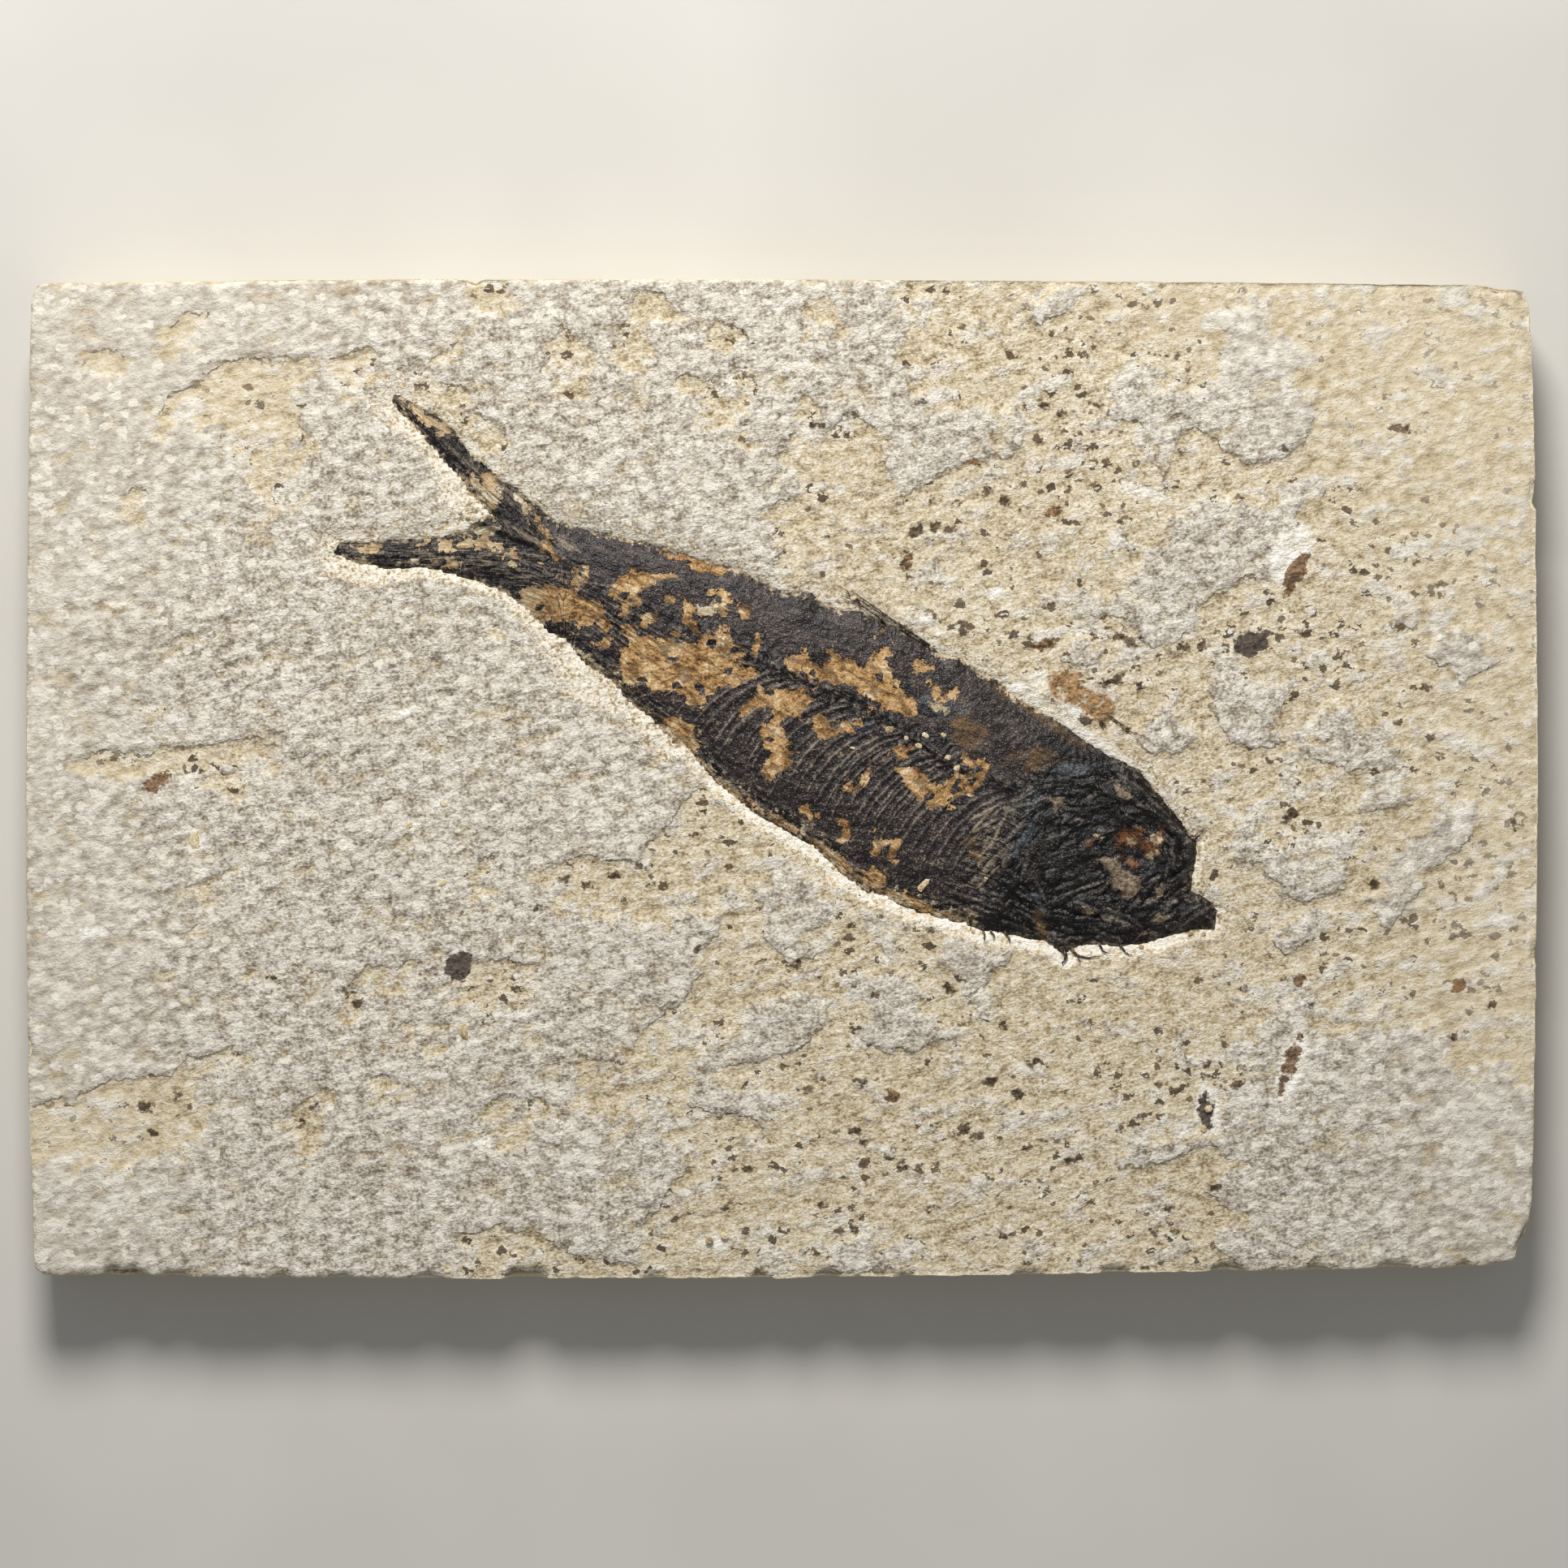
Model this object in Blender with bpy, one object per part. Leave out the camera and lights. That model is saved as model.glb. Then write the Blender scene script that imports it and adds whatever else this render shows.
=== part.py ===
"""Fossil fish slab: a sawn plate of laminated limestone with one small herring-like fish laid bare in it.

The plate lies on its sawn back with the fish uppermost. The origin is under the middle of the back,
+X runs along the plate towards the fish's head, +Y across it towards the fish's back, and +Z is up.

Two pieces are modelled:
- limestone_slab, the plate, with its chipped edges, the shallow steps where the upper lamina has flaked
  away, the hollow scraped round the fish and the bed that the fish lies in;
- fossil_fish, the carbon film and the bones pressed into one crust: body, forked tail, backbone, ribs,
  tail rays, gill cover, eye ring and lower jaw.
"""

import math

import bmesh
import bpy
from mathutils import Vector, noise

MM = 0.001  # every size below is in millimetres, and MM turns it into metres

# The plate
PLATE_LENGTH = 152.4
PLATE_WIDTH = 100.8
PLATE_THICKNESS = 9.5
END_BOW = 0.8  # how far each short side falls back from its middle to its corners
LONG_SIDE_BOW = 0.45
CORNER_WEAR = {(-1, -1): 0.4, (1, -1): 1.3, (-1, 1): 0.35, (1, 1): 0.7}
PLATE_COLUMNS = 30
PLATE_ROWS = 20
FACE_RELIEF = 0.14
FACE_RELIEF_WAVE = 13.0
SIDE_RELIEF = 0.25
SIDE_RELIEF_WAVE = 5.0
SIDE_BANDS = (3.1, 6.4)  # heights of the two seams along which the sawn sides are uneven

# Chips along the arris of the long side by the belly: (place along X, half width)
BELLY_SIDE_CHIPS = (
    (-66.2, 2.4), (-61.0, 1.7), (-50.4, 1.3), (-44.6, 1.5), (-35.6, 1.6), (-25.8, 2.3), (-13.0, 1.2),
    (-2.2, 1.4), (4.6, 1.5), (12.4, 1.1), (24.3, 1.3), (33.6, 1.6), (44.9, 1.9), (53.9, 1.5), (61.4, 1.8),
    (68.6, 1.3),
)
# Chips along the arris of the other long side
BACK_SIDE_CHIPS = ((-57.0, 1.0), (-31.1, 0.9), (9.5, 0.8), (72.2, 1.1))
# Chips on the two short sides: (side, place along Y, half width)
END_CHIPS = ((1, 28.6, 1.5), (1, -17.5, 1.1), (1, -46.0, 1.6), (-1, 38.4, 1.0), (-1, -27.0, 1.2))
CHIP_BITE = 0.75  # how far a chip reaches into the plate, for each millimetre of its half width
CHIP_DROP = 1.1  # how far it reaches down the side, for each millimetre of its half width

# The steps in the face
FLAKE_DEPTH = 0.35
FLAKE_ROUGHNESS = 0.45
FLAKE_STEP = 3.2  # spacing of the points along a broken edge
BEYOND = 4.0  # how far a patch that runs off the plate is carried past its edge
LARGE_FLAKE = (
    (12.0, 54.4), (12.0, 45.0), (13.8, 40.1), (10.8, 39.0), (10.6, 34.2), (4.6, 35.6), (2.7, 38.9),
    (0.5, 34.4), (2.0, 26.5), (1.0, 15.0), (-6.0, 4.0), (-11.5, -5.0), (-14.6, -8.1), (-21.0, -8.0),
    (-24.3, -9.4), (-22.5, -12.9), (-14.0, -14.2), (-5.5, -12.9), (-8.3, -18.6), (-10.0, -22.7),
    (-14.0, -25.0), (-16.0, -28.6), (-20.7, -28.2), (-21.0, -31.6), (-13.0, -34.0), (-8.7, -38.6),
    (-14.0, -45.0), (-14.5, -54.4), (44.0, -54.4), (43.5, -44.0), (46.0, -38.0), (46.6, -26.0),
    (51.0, -22.8), (57.0, -25.0), (66.0, -23.6), (70.0, -29.4), (80.2, -30.0), (80.2, 54.4),
)
# Islands of the upper lamina that still stand inside the large flake
ISLANDS = (
    ((33.5, 43.0), (39.0, 40.5), (45.0, 46.5), (50.0, 46.0), (53.5, 38.0), (47.3, 31.0), (40.5, 34.7),
     (34.0, 35.8)),
    ((31.0, 17.5), (36.3, 24.2), (42.0, 27.7), (49.5, 27.5), (50.0, 20.0), (44.0, 17.0), (39.5, 12.3),
     (33.5, 15.5)),
    ((42.8, 8.9), (49.7, 9.0), (50.2, 5.6), (46.0, 4.2), (43.4, 6.0)),
    ((52.5, 3.0), (55.0, 7.6), (57.5, 8.0), (62.0, 3.5), (61.0, 0.5)),
    ((65.3, 11.8), (68.0, 16.9), (72.8, 13.7), (69.3, 10.0)),
    ((44.5, -5.0), (48.5, -5.7), (56.0, -6.0), (64.0, -3.0), (70.5, -3.0), (70.3, -9.5), (62.0, -14.5),
     (55.8, -11.6), (50.5, -12.0), (44.4, -8.4)),
    ((8.2, -26.0), (8.0, -20.0), (11.0, -18.4), (17.6, -26.0), (11.0, -27.8)),
    ((-9.3, -27.5), (-3.0, -24.0), (2.5, -20.3), (4.8, -24.0), (1.3, -27.6), (-5.6, -29.3), (-1.2, -32.0),
     (-1.6, -35.7), (-4.0, -33.6), (-9.2, -33.0)),
    ((15.4, -18.5), (17.0, -16.0), (23.4, -17.8), (18.5, -21.3)),
)
# Smaller patches where the upper lamina is gone
SMALL_FLAKES = (
    ((-61.0, 40.2), (-56.0, 42.0), (-48.2, 42.2), (-48.3, 36.0), (-49.3, 33.0), (-48.3, 28.6),
     (-53.5, 28.4), (-57.0, 33.5), (-62.6, 36.0)),
    ((-46.0, 42.0), (-44.0, 43.0), (-40.4, 42.5), (-40.2, 39.0), (-45.3, 39.0)),
    ((-40.2, 40.6), (-34.4, 42.3), (-28.2, 36.0), (-31.0, 32.5), (-38.0, 38.5)),
    ((-31.4, 54.4), (-32.2, 46.5), (-27.0, 46.2), (-26.5, 54.4)),
    ((-25.0, 41.6), (-22.3, 45.3), (-20.2, 43.8), (-20.4, 39.6), (-25.3, 38.6)),
    ((-18.0, 42.8), (-14.4, 48.0), (-10.6, 44.6), (-13.2, 40.4)),
    ((-7.5, 44.2), (-4.6, 45.9), (-2.2, 44.4), (-4.4, 43.4)),
    ((-12.0, 40.7), (-6.4, 41.5), (-2.5, 38.8), (-4.6, 35.8), (-10.5, 37.8)),
    ((-70.0, 2.9), (-61.0, 3.1), (-51.5, 4.1), (-48.0, 2.3), (-58.0, 0.0), (-67.0, 0.3)),
    ((-80.2, -33.2), (-71.6, -32.4), (-66.0, -30.4), (-59.4, -30.2), (-61.0, -36.0), (-71.0, -38.5),
     (-80.2, -38.0)),
    ((-44.8, -22.0), (-39.5, -18.1), (-35.6, -18.6), (-36.0, -24.6), (-45.2, -24.4)),
    ((-33.5, -20.8), (-29.0, -18.3), (-24.6, -18.8), (-25.6, -23.6), (-32.0, -23.6)),
    ((-30.5, -34.0), (-28.2, -31.8), (-22.4, -31.6), (-23.0, -36.0), (-29.4, -36.2)),
    ((-33.2, -46.2), (-30.0, -45.2), (-24.3, -46.6), (-22.5, -54.4), (-34.5, -54.4)),
)

# The fish: points along its axis s, from the tail's root to the lower jaw, and across it t
FISH_ORIGIN = Vector((0.0, 7.0))
FISH_HEADING = math.radians(-27.0)
TAIL_ROOT = -31.0
JAW_TIP = 48.5
BACK_LINE = (
    (-31.0, 7.0), (-27.0, 7.0), (-19.0, 9.0), (-12.0, 10.3), (-5.5, 10.8), (2.5, 12.4), (9.0, 12.6),
    (18.0, 12.5), (25.5, 11.5), (35.0, 10.8), (40.0, 8.8), (43.8, 5.8), (45.0, 2.8), (47.3, 2.3), (48.5, 0.8),
)
BELLY_LINE = (
    (-31.0, -2.4), (-21.0, -4.4), (-12.4, -6.9), (-6.5, -7.8), (-1.0, -10.4), (9.5, -11.0), (16.0, -12.6),
    (22.3, -11.9), (28.0, -10.8), (35.4, -8.9), (43.0, -4.9), (45.5, -2.3), (48.5, -0.6),
)
BODY_COLUMNS = 42
BODY_ROWS = 7
EDGE_ROUGHNESS = 0.18
RIM_DROP = 0.4  # the crust's rim lies this far under the plate's face
CROWN = 0.95  # how far the crust rises from its rim to its middle
CROWN_EXPONENT = 2.6
CRUST_FLOOR = 1.4  # the crust's flat underside, under the plate's face
# Each tail lobe: the points of its middle line with the half width there
UPPER_LOBE = (
    ((-25.5, 25.2), 2.2), ((-28.2, 27.9), 2.1), ((-30.9, 30.4), 1.7), ((-33.1, 32.9), 1.5),
    ((-35.6, 35.3), 1.25), ((-37.6, 37.3), 0.85), ((-39.3, 38.8), 0.35),
)
LOWER_LOBE = (
    ((-25.0, 22.2), 2.6), ((-30.0, 22.5), 2.6), ((-34.0, 22.7), 1.9), ((-38.0, 22.6), 1.7),
    ((-41.5, 22.7), 1.35), ((-44.5, 23.0), 0.85), ((-45.3, 23.2), 0.5),
)
LOBE_COLUMNS = 10
LOBE_ROWS = 2
LOBE_CROWN = 0.4
LOBE_FLOOR = 1.3

# The hollow round the fish and the bed under it
HOLLOW_MARGIN = 1.7
HOLLOW_ROUGHNESS = 0.6
HOLLOW_DEPTH = 0.6
BED_GAP = 0.3
BED_DEPTH = CRUST_FLOOR + BED_GAP

# Raised bones
SPINE_LINE = (
    (-24.0, 21.9), (-18.0, 19.0), (-12.0, 16.5), (-8.0, 14.5), (-2.0, 12.0), (5.0, 9.0), (12.0, 5.2),
    (18.0, 1.4), (25.0, -1.5),
)
VERTEBRA_COUNT = 27
VERTEBRA_RADIUS = 0.55
VERTEBRA_SIDES = 6
VERTEBRA_FILL = 0.72  # length of a vertebra as a share of the spacing
RIB_COUNT = 21
FIRST_RIB = -6.0  # where the hindmost rib leaves the backbone, along the fish's axis
RIB_PITCH = 1.5
RIB_SWEEP = 6.2  # how far back a rib's tip lies from its root
RIB_REACH = 0.68  # how much of the belly a rib crosses
RIB_POINTS = 5
RIB_RADIUS = 0.3
SPINE_OFFSET = 2.2  # the ribs' roots lie this far to the back's side of the fish's axis
RAYS_PER_LOBE = 4
RAY_RADIUS = 0.2
RAY_POINTS = 4
GILL_COVER = ((25.5, -7.5), 4.6, 6.0, 0.5)  # middle, half length, half height, rise
GILL_COVER_TURN = math.radians(20.0)
EYE_MIDDLE = (36.2, -6.3)
EYE_RING_RADIUS = 3.1
EYE_RING_THICKNESS = 0.45
LOWER_JAW = ((39.4, -14.2), 3.6, 0.95, 0.5)
LOWER_JAW_TURN = math.radians(4.0)
CHEEK_BONES = (
    ((31.8, -0.9), 4.6, 0.8, 0.4, -0.5),
    ((32.6, -12.6), 4.2, 0.9, 0.4, 0.1),
)

# Colours, as linear red, green and blue, and roughness
LIMESTONE_COLOUR = (0.60, 0.53, 0.41, 1.0)
LIMESTONE_ROUGHNESS = 0.9
FOSSIL_COLOUR = (0.035, 0.026, 0.020, 1.0)
FOSSIL_ROUGHNESS = 0.55


def clear_scene():
    """Take away every object that the new file starts with."""
    for thing in list(bpy.data.objects):
        bpy.data.objects.remove(thing, do_unlink=True)


def add_collection(name):
    """A collection in the scene."""
    collection = bpy.data.collections.new(name)
    bpy.context.scene.collection.children.link(collection)
    return collection


def principled(name, colour, roughness):
    """A plain Principled material of one colour."""
    material = bpy.data.materials.new(name)
    material.use_nodes = True
    shader = material.node_tree.nodes["Principled BSDF"]
    shader.inputs["Base Color"].default_value = colour
    shader.inputs["Roughness"].default_value = roughness
    shader.inputs["Metallic"].default_value = 0.0
    return material


def mark_as_tool(thing):
    """Show an object as a wire guide that is no piece of the slab."""
    thing.hide_render = True
    thing.display_type = "WIRE"


def object_from(shape, name, collection):
    """Turn a bmesh into an object in a collection."""
    bmesh.ops.recalc_face_normals(shape, faces=shape.faces[:])
    mesh = bpy.data.meshes.new(name)
    shape.to_mesh(mesh)
    shape.free()
    thing = bpy.data.objects.new(name, mesh)
    collection.objects.link(thing)
    return thing


def mesh_from_curve(curve_object, name, collection):
    """Replace a curve object by a welded mesh object of the same shape."""
    bpy.context.view_layer.update()
    evaluated = curve_object.evaluated_get(bpy.context.evaluated_depsgraph_get())
    mesh = bpy.data.meshes.new_from_object(evaluated)
    shape = bmesh.new()
    shape.from_mesh(mesh)
    bmesh.ops.remove_doubles(shape, verts=shape.verts[:], dist=0.00001)
    thing = object_from(shape, name, collection)
    thing.matrix_world = curve_object.matrix_world.copy()
    bpy.data.objects.remove(curve_object, do_unlink=True)
    bpy.data.meshes.remove(mesh)
    return thing


def roughness_at(x, y, wave, layer):
    """Smooth seeded noise between about -1 and 1, with hills about one wave apart."""
    return noise.noise(Vector((x / wave, y / wave, layer)))


def between(low, high, share):
    """The value a share of the way from low to high."""
    return low + (high - low) * share


def on_line(points, place):
    """Height of a smooth line through (place, height) points, held level past its two ends."""
    if place <= points[0][0]:
        return points[0][1]
    if place >= points[-1][0]:
        return points[-1][1]
    last = len(points) - 1
    index = max(i for i in range(last) if points[i][0] <= place)
    before, start, end, after = (points[min(max(i, 0), last)] for i in range(index - 1, index + 3))
    width = end[0] - start[0]
    share = (place - start[0]) / width
    slope_in = (end[1] - before[1]) / (end[0] - before[0]) * width
    slope_out = (after[1] - start[1]) / (after[0] - start[0]) * width
    square, cube = share * share, share ** 3
    return (
        (2 * cube - 3 * square + 1) * start[1] + (cube - 2 * square + share) * slope_in
        + (3 * square - 2 * cube) * end[1] + (cube - square) * slope_out
    )


def along_path(points, share):
    """Point and direction a share of the way along a smooth path through equally weighted points."""
    count = len(points) - 1
    steps = [(i / count, point[0]) for i, point in enumerate(points)]
    rises = [(i / count, point[1]) for i, point in enumerate(points)]
    small = 0.01
    here = Vector((on_line(steps, share), on_line(rises, share)))
    ahead = min(share + small, 1.0)
    behind = max(share - small, 0.0)
    direction = Vector((
        on_line(steps, ahead) - on_line(steps, behind),
        on_line(rises, ahead) - on_line(rises, behind),
    )).normalized()
    return here, direction


def plate_from_grid(name, columns, rows, place, floor, collection):
    """One closed plate: a grid set out by place(u, v), with walls down from its rim to a flat floor."""
    shape = bmesh.new()
    bmesh.ops.create_grid(shape, x_segments=columns, y_segments=rows, size=1.0)
    top = shape.faces[:]
    under = bmesh.ops.duplicate(shape, geom=top)
    floor_faces = [item for item in under["geom"] if isinstance(item, bmesh.types.BMFace)]
    floor_points = {vertex for face in floor_faces for vertex in face.verts}
    for vertex in shape.verts:
        spot = place(vertex.co.x, vertex.co.y)
        if vertex in floor_points:
            spot.z = floor
        vertex.co = spot * MM
    bmesh.ops.reverse_faces(shape, faces=floor_faces)
    rims = [edge for edge in shape.edges if edge.is_boundary]
    bmesh.ops.bridge_loops(shape, edges=rims)
    bmesh.ops.dissolve_faces(shape, faces=floor_faces)
    return object_from(shape, name, collection)


def plate_place(u, v):
    """Point of the plate's face for u and v from -1 to 1."""
    x = u * (PLATE_LENGTH / 2 - END_BOW * v * v)
    y = v * (PLATE_WIDTH / 2 - LONG_SIDE_BOW * u * u)
    if abs(u) > 0.999 and abs(v) > 0.999:
        wear = CORNER_WEAR[(round(u), round(v))]
        x -= wear * u
        y -= wear * v
    rise = FACE_RELIEF * roughness_at(x, y, FACE_RELIEF_WAVE, 1.0)
    return Vector((x, y, PLATE_THICKNESS + rise))


def roughen_sides(plate):
    """Cut the plate's sides at their seams and draw the points there in a little, unevenly."""
    shape = bmesh.new()
    shape.from_mesh(plate.data)
    for height in SIDE_BANDS:
        geometry = shape.verts[:] + shape.edges[:] + shape.faces[:]
        bmesh.ops.bisect_plane(shape, geom=geometry, plane_co=(0, 0, height * MM), plane_no=(0, 0, 1))
    for vertex in shape.verts:
        height = vertex.co.z / MM
        if not any(abs(height - band) < 0.01 for band in SIDE_BANDS):
            continue
        x, y = vertex.co.x / MM, vertex.co.y / MM
        draw = 0.5 + 0.5 * roughness_at(x + y, height * 3.0, SIDE_RELIEF_WAVE, 2.0)
        vertex.co.xy -= vertex.co.xy.normalized() * draw * SIDE_RELIEF * MM
    shape.to_mesh(plate.data)
    shape.free()


def broken_outline(points, layer):
    """Points along a closed outline, pushed aside unevenly as a broken lamina's edge is."""
    outline = []
    for start, end in zip(points, points[1:] + points[:1]):
        start, end = Vector(start), Vector(end)
        pieces = max(1, round((end - start).length / FLAKE_STEP))
        side = (end - start).normalized()
        aside = Vector((-side.y, side.x))
        for piece in range(pieces):
            spot = start.lerp(end, piece / pieces)
            push = FLAKE_ROUGHNESS * roughness_at(spot.x, spot.y, FLAKE_STEP * 0.9, layer)
            outline.append(spot + aside * push * 2.0)
    return outline


def add_flake_cutter(name, outlines, collection):
    """A flat prism over the plate's face: its first outline less the islands inside it."""
    curve = bpy.data.curves.new(name, "CURVE")
    curve.dimensions = "2D"
    curve.fill_mode = "BOTH"
    curve.extrude = BEYOND / 2 * MM
    for layer, outline in enumerate(outlines):
        spots = broken_outline(outline, 10.0 + layer)
        spline = curve.splines.new("POLY")
        spline.points.add(len(spots) - 1)
        spline.use_cyclic_u = True
        for point, spot in zip(spline.points, spots):
            point.co = (spot.x * MM, spot.y * MM, 0.0, 1.0)
    guide = bpy.data.objects.new(name + "_outline", curve)
    guide.location.z = (PLATE_THICKNESS - FLAKE_DEPTH + BEYOND / 2) * MM
    collection.objects.link(guide)
    mark_as_tool(mesh_from_curve(guide, name, collection))


def add_chip_cutter(name, x, y, half_width, along_x, collection):
    """A flattened ball on the arris, which takes a shell-shaped chip out of the edge."""
    shape = bmesh.new()
    bmesh.ops.create_uvsphere(shape, u_segments=10, v_segments=7, radius=1.0)
    bite = CHIP_BITE * half_width
    drop = CHIP_DROP * half_width
    size = (half_width, bite, drop) if along_x else (bite, half_width, drop)
    bmesh.ops.scale(shape, vec=Vector(size) * MM, verts=shape.verts[:])
    outward = 0.35 * bite
    spot = Vector((x, y + math.copysign(outward, y), 0.0))
    if not along_x:
        spot = Vector((x + math.copysign(outward, x), y, 0.0))
    spot.z = PLATE_THICKNESS + 0.3 * drop
    bmesh.ops.translate(shape, vec=spot * MM, verts=shape.verts[:])
    mark_as_tool(object_from(shape, name, collection))


def add_chip_cutters(collection):
    """Every chip along the plate's four arrises."""
    half_length = PLATE_LENGTH / 2
    half_width = PLATE_WIDTH / 2
    for side, chips in ((-1, BELLY_SIDE_CHIPS), (1, BACK_SIDE_CHIPS)):
        for number, (x, size) in enumerate(chips):
            y = side * (half_width - LONG_SIDE_BOW * (x / half_length) ** 2)
            add_chip_cutter(f"chip_long_{side}_{number}", x, y, size, True, collection)
    for number, (side, y, size) in enumerate(END_CHIPS):
        x = side * (half_length - END_BOW * (y / half_width) ** 2)
        add_chip_cutter(f"chip_end_{number}", x, y, size, False, collection)


def to_plate(s, t):
    """Point on the plate of a point given along the fish's axis and across it."""
    along = Vector((math.cos(FISH_HEADING), math.sin(FISH_HEADING)))
    across = Vector((-math.sin(FISH_HEADING), math.cos(FISH_HEADING)))
    return FISH_ORIGIN + along * s + across * t


def to_fish(x, y):
    """The same, from a point of the plate back to the fish's axis."""
    offset = Vector((x, y)) - FISH_ORIGIN
    along = Vector((math.cos(FISH_HEADING), math.sin(FISH_HEADING)))
    across = Vector((-math.sin(FISH_HEADING), math.cos(FISH_HEADING)))
    return offset.dot(along), offset.dot(across)


def body_edges(s, margin=0.0):
    """Belly and back of the body at s, set out by a margin measured square to each edge."""
    small = 0.5
    edges = []
    for line, side in ((BELLY_LINE, -1), (BACK_LINE, 1)):
        edge = on_line(line, s) + EDGE_ROUGHNESS * roughness_at(s, side * 9.0, 1.6, 3.0)
        slope = (on_line(line, s + small) - on_line(line, s - small)) / (2 * small)
        edges.append(edge + side * margin * min(math.hypot(1.0, slope), 3.0))
    return edges


def crust_height(s, t):
    """Height of the fish's crust over the plate's back."""
    belly, back = body_edges(s)
    across = min(abs(2 * (t - belly) / (back - belly) - 1), 1.0)
    rise = CROWN * (1 - across ** CROWN_EXPONENT)
    rise *= min(1.0, 0.55 + (s - TAIL_ROOT) / 30.0, 0.55 + (JAW_TIP - s) / 14.0)
    return PLATE_THICKNESS - RIM_DROP + rise


def body_place(margin, height, roughness=0.0):
    """Placing rule of the body's outline set out by a margin; height None gives the crust's crown."""
    def place(u, v):
        s = between(TAIL_ROOT, JAW_TIP, (u + 1) / 2)
        wide = margin + roughness * roughness_at(s, v * 7.0, 4.0, 4.0)
        belly, back = body_edges(s, wide if margin else 0.0)
        t = between(belly, back, (v + 1) / 2)
        top = crust_height(s, t) if height is None else height
        end_shift = margin * u if abs(u) > 0.999 else 0.0
        spot = to_plate(s + end_shift, t)
        return Vector((spot.x, spot.y, top))
    return place


def lobe_place(lobe, margin, height, roughness=0.0):
    """Placing rule of a tail lobe's outline set out by a margin; height None gives its low crown."""
    middles = tuple(middle for middle, _ in lobe)
    count = len(lobe) - 1
    widths = tuple((i / count, width) for i, (_, width) in enumerate(lobe))

    def place(u, v):
        share = (u + 1) / 2
        middle, direction = along_path(middles, share)
        wide = margin + roughness * roughness_at(middle.x, v * 7.0, 3.0, 5.0)
        half = on_line(widths, share) + (wide if margin else 0.0)
        side = Vector((-direction.y, direction.x))
        end_shift = margin * u if abs(u) > 0.999 else 0.0
        spot = middle + side * half * v + direction * end_shift
        top = height
        if height is None:
            top = PLATE_THICKNESS - RIM_DROP + LOBE_CROWN * (1 - v * v)
        return Vector((spot.x, spot.y, top))
    return place


def add_fish_shaped_cutters(name, margin, depth, roughness, collection):
    """Three cutters that together take the fish's outline, set out by a margin, down to a depth."""
    top = PLATE_THICKNESS + BEYOND
    floor = PLATE_THICKNESS - depth
    places = (
        ("body", BODY_COLUMNS, body_place(margin, top, roughness)),
        ("upper_lobe", LOBE_COLUMNS, lobe_place(UPPER_LOBE, margin, top, roughness)),
        ("lower_lobe", LOBE_COLUMNS, lobe_place(LOWER_LOBE, margin, top, roughness)),
    )
    for part_name, columns, place in places:
        mark_as_tool(plate_from_grid(f"{name}_{part_name}", columns, 1, place, floor, collection))


def add_boolean(thing, operation, tools):
    """Cut or join a whole collection of tools with an object."""
    modifier = thing.modifiers.new(operation.lower(), "BOOLEAN")
    modifier.operation = operation
    modifier.solver = "EXACT"
    modifier.operand_type = "COLLECTION"
    modifier.collection = tools


def make_slab(pieces, material):
    """The uncut limestone plate, and the cutters for its chips, its steps and the fish's hollow and bed."""
    slab = plate_from_grid("limestone_slab", PLATE_COLUMNS, PLATE_ROWS, plate_place, 0.0, pieces)
    roughen_sides(slab)
    slab.data.materials.append(material)
    chips = add_collection("chip_cutters")
    add_chip_cutters(chips)
    flakes = add_collection("flake_cutters")
    add_flake_cutter("large_flake", (LARGE_FLAKE,) + ISLANDS, flakes)
    for number, outline in enumerate(SMALL_FLAKES):
        add_flake_cutter(f"small_flake_{number}", (outline,), flakes)
    hollows = add_collection("fish_cutters")
    add_fish_shaped_cutters("hollow", HOLLOW_MARGIN, HOLLOW_DEPTH, HOLLOW_ROUGHNESS, hollows)
    add_fish_shaped_cutters("bed", BED_GAP, BED_DEPTH, 0.0, hollows)
    return slab, (chips, flakes, hollows)


def add_tube(name, spots, radius, collection):
    """A bone drawn as a thin tube through points in millimetres."""
    curve = bpy.data.curves.new(name, "CURVE")
    curve.dimensions = "3D"
    curve.bevel_depth = radius * MM
    curve.bevel_resolution = 1
    curve.use_fill_caps = True
    spline = curve.splines.new("POLY")
    spline.points.add(len(spots) - 1)
    for point, spot in zip(spline.points, spots):
        point.co = (spot.x * MM, spot.y * MM, spot.z * MM, 1.0)
    guide = bpy.data.objects.new(name + "_line", curve)
    collection.objects.link(guide)
    mark_as_tool(mesh_from_curve(guide, name, collection))


def add_ribs(tools):
    """Ribs that sweep back from the backbone and down across the belly, each seated in the crust."""
    for number in range(RIB_COUNT):
        root = FIRST_RIB + number * RIB_PITCH
        belly = body_edges(root - RIB_SWEEP)[0]
        start = Vector((root, SPINE_OFFSET))
        bend = Vector((root - RIB_SWEEP * 0.77, SPINE_OFFSET - 2.0))
        tip = Vector((root - RIB_SWEEP, belly * RIB_REACH))
        spots = []
        for step in range(RIB_POINTS):
            share = step / (RIB_POINTS - 1)
            spot = start.lerp(bend, share).lerp(bend.lerp(tip, share), share)
            flat = to_plate(spot.x, spot.y)
            spots.append(Vector((flat.x, flat.y, crust_height(spot.x, spot.y))))
        add_tube(f"rib_{number:02d}", spots, RIB_RADIUS, tools)


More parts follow.
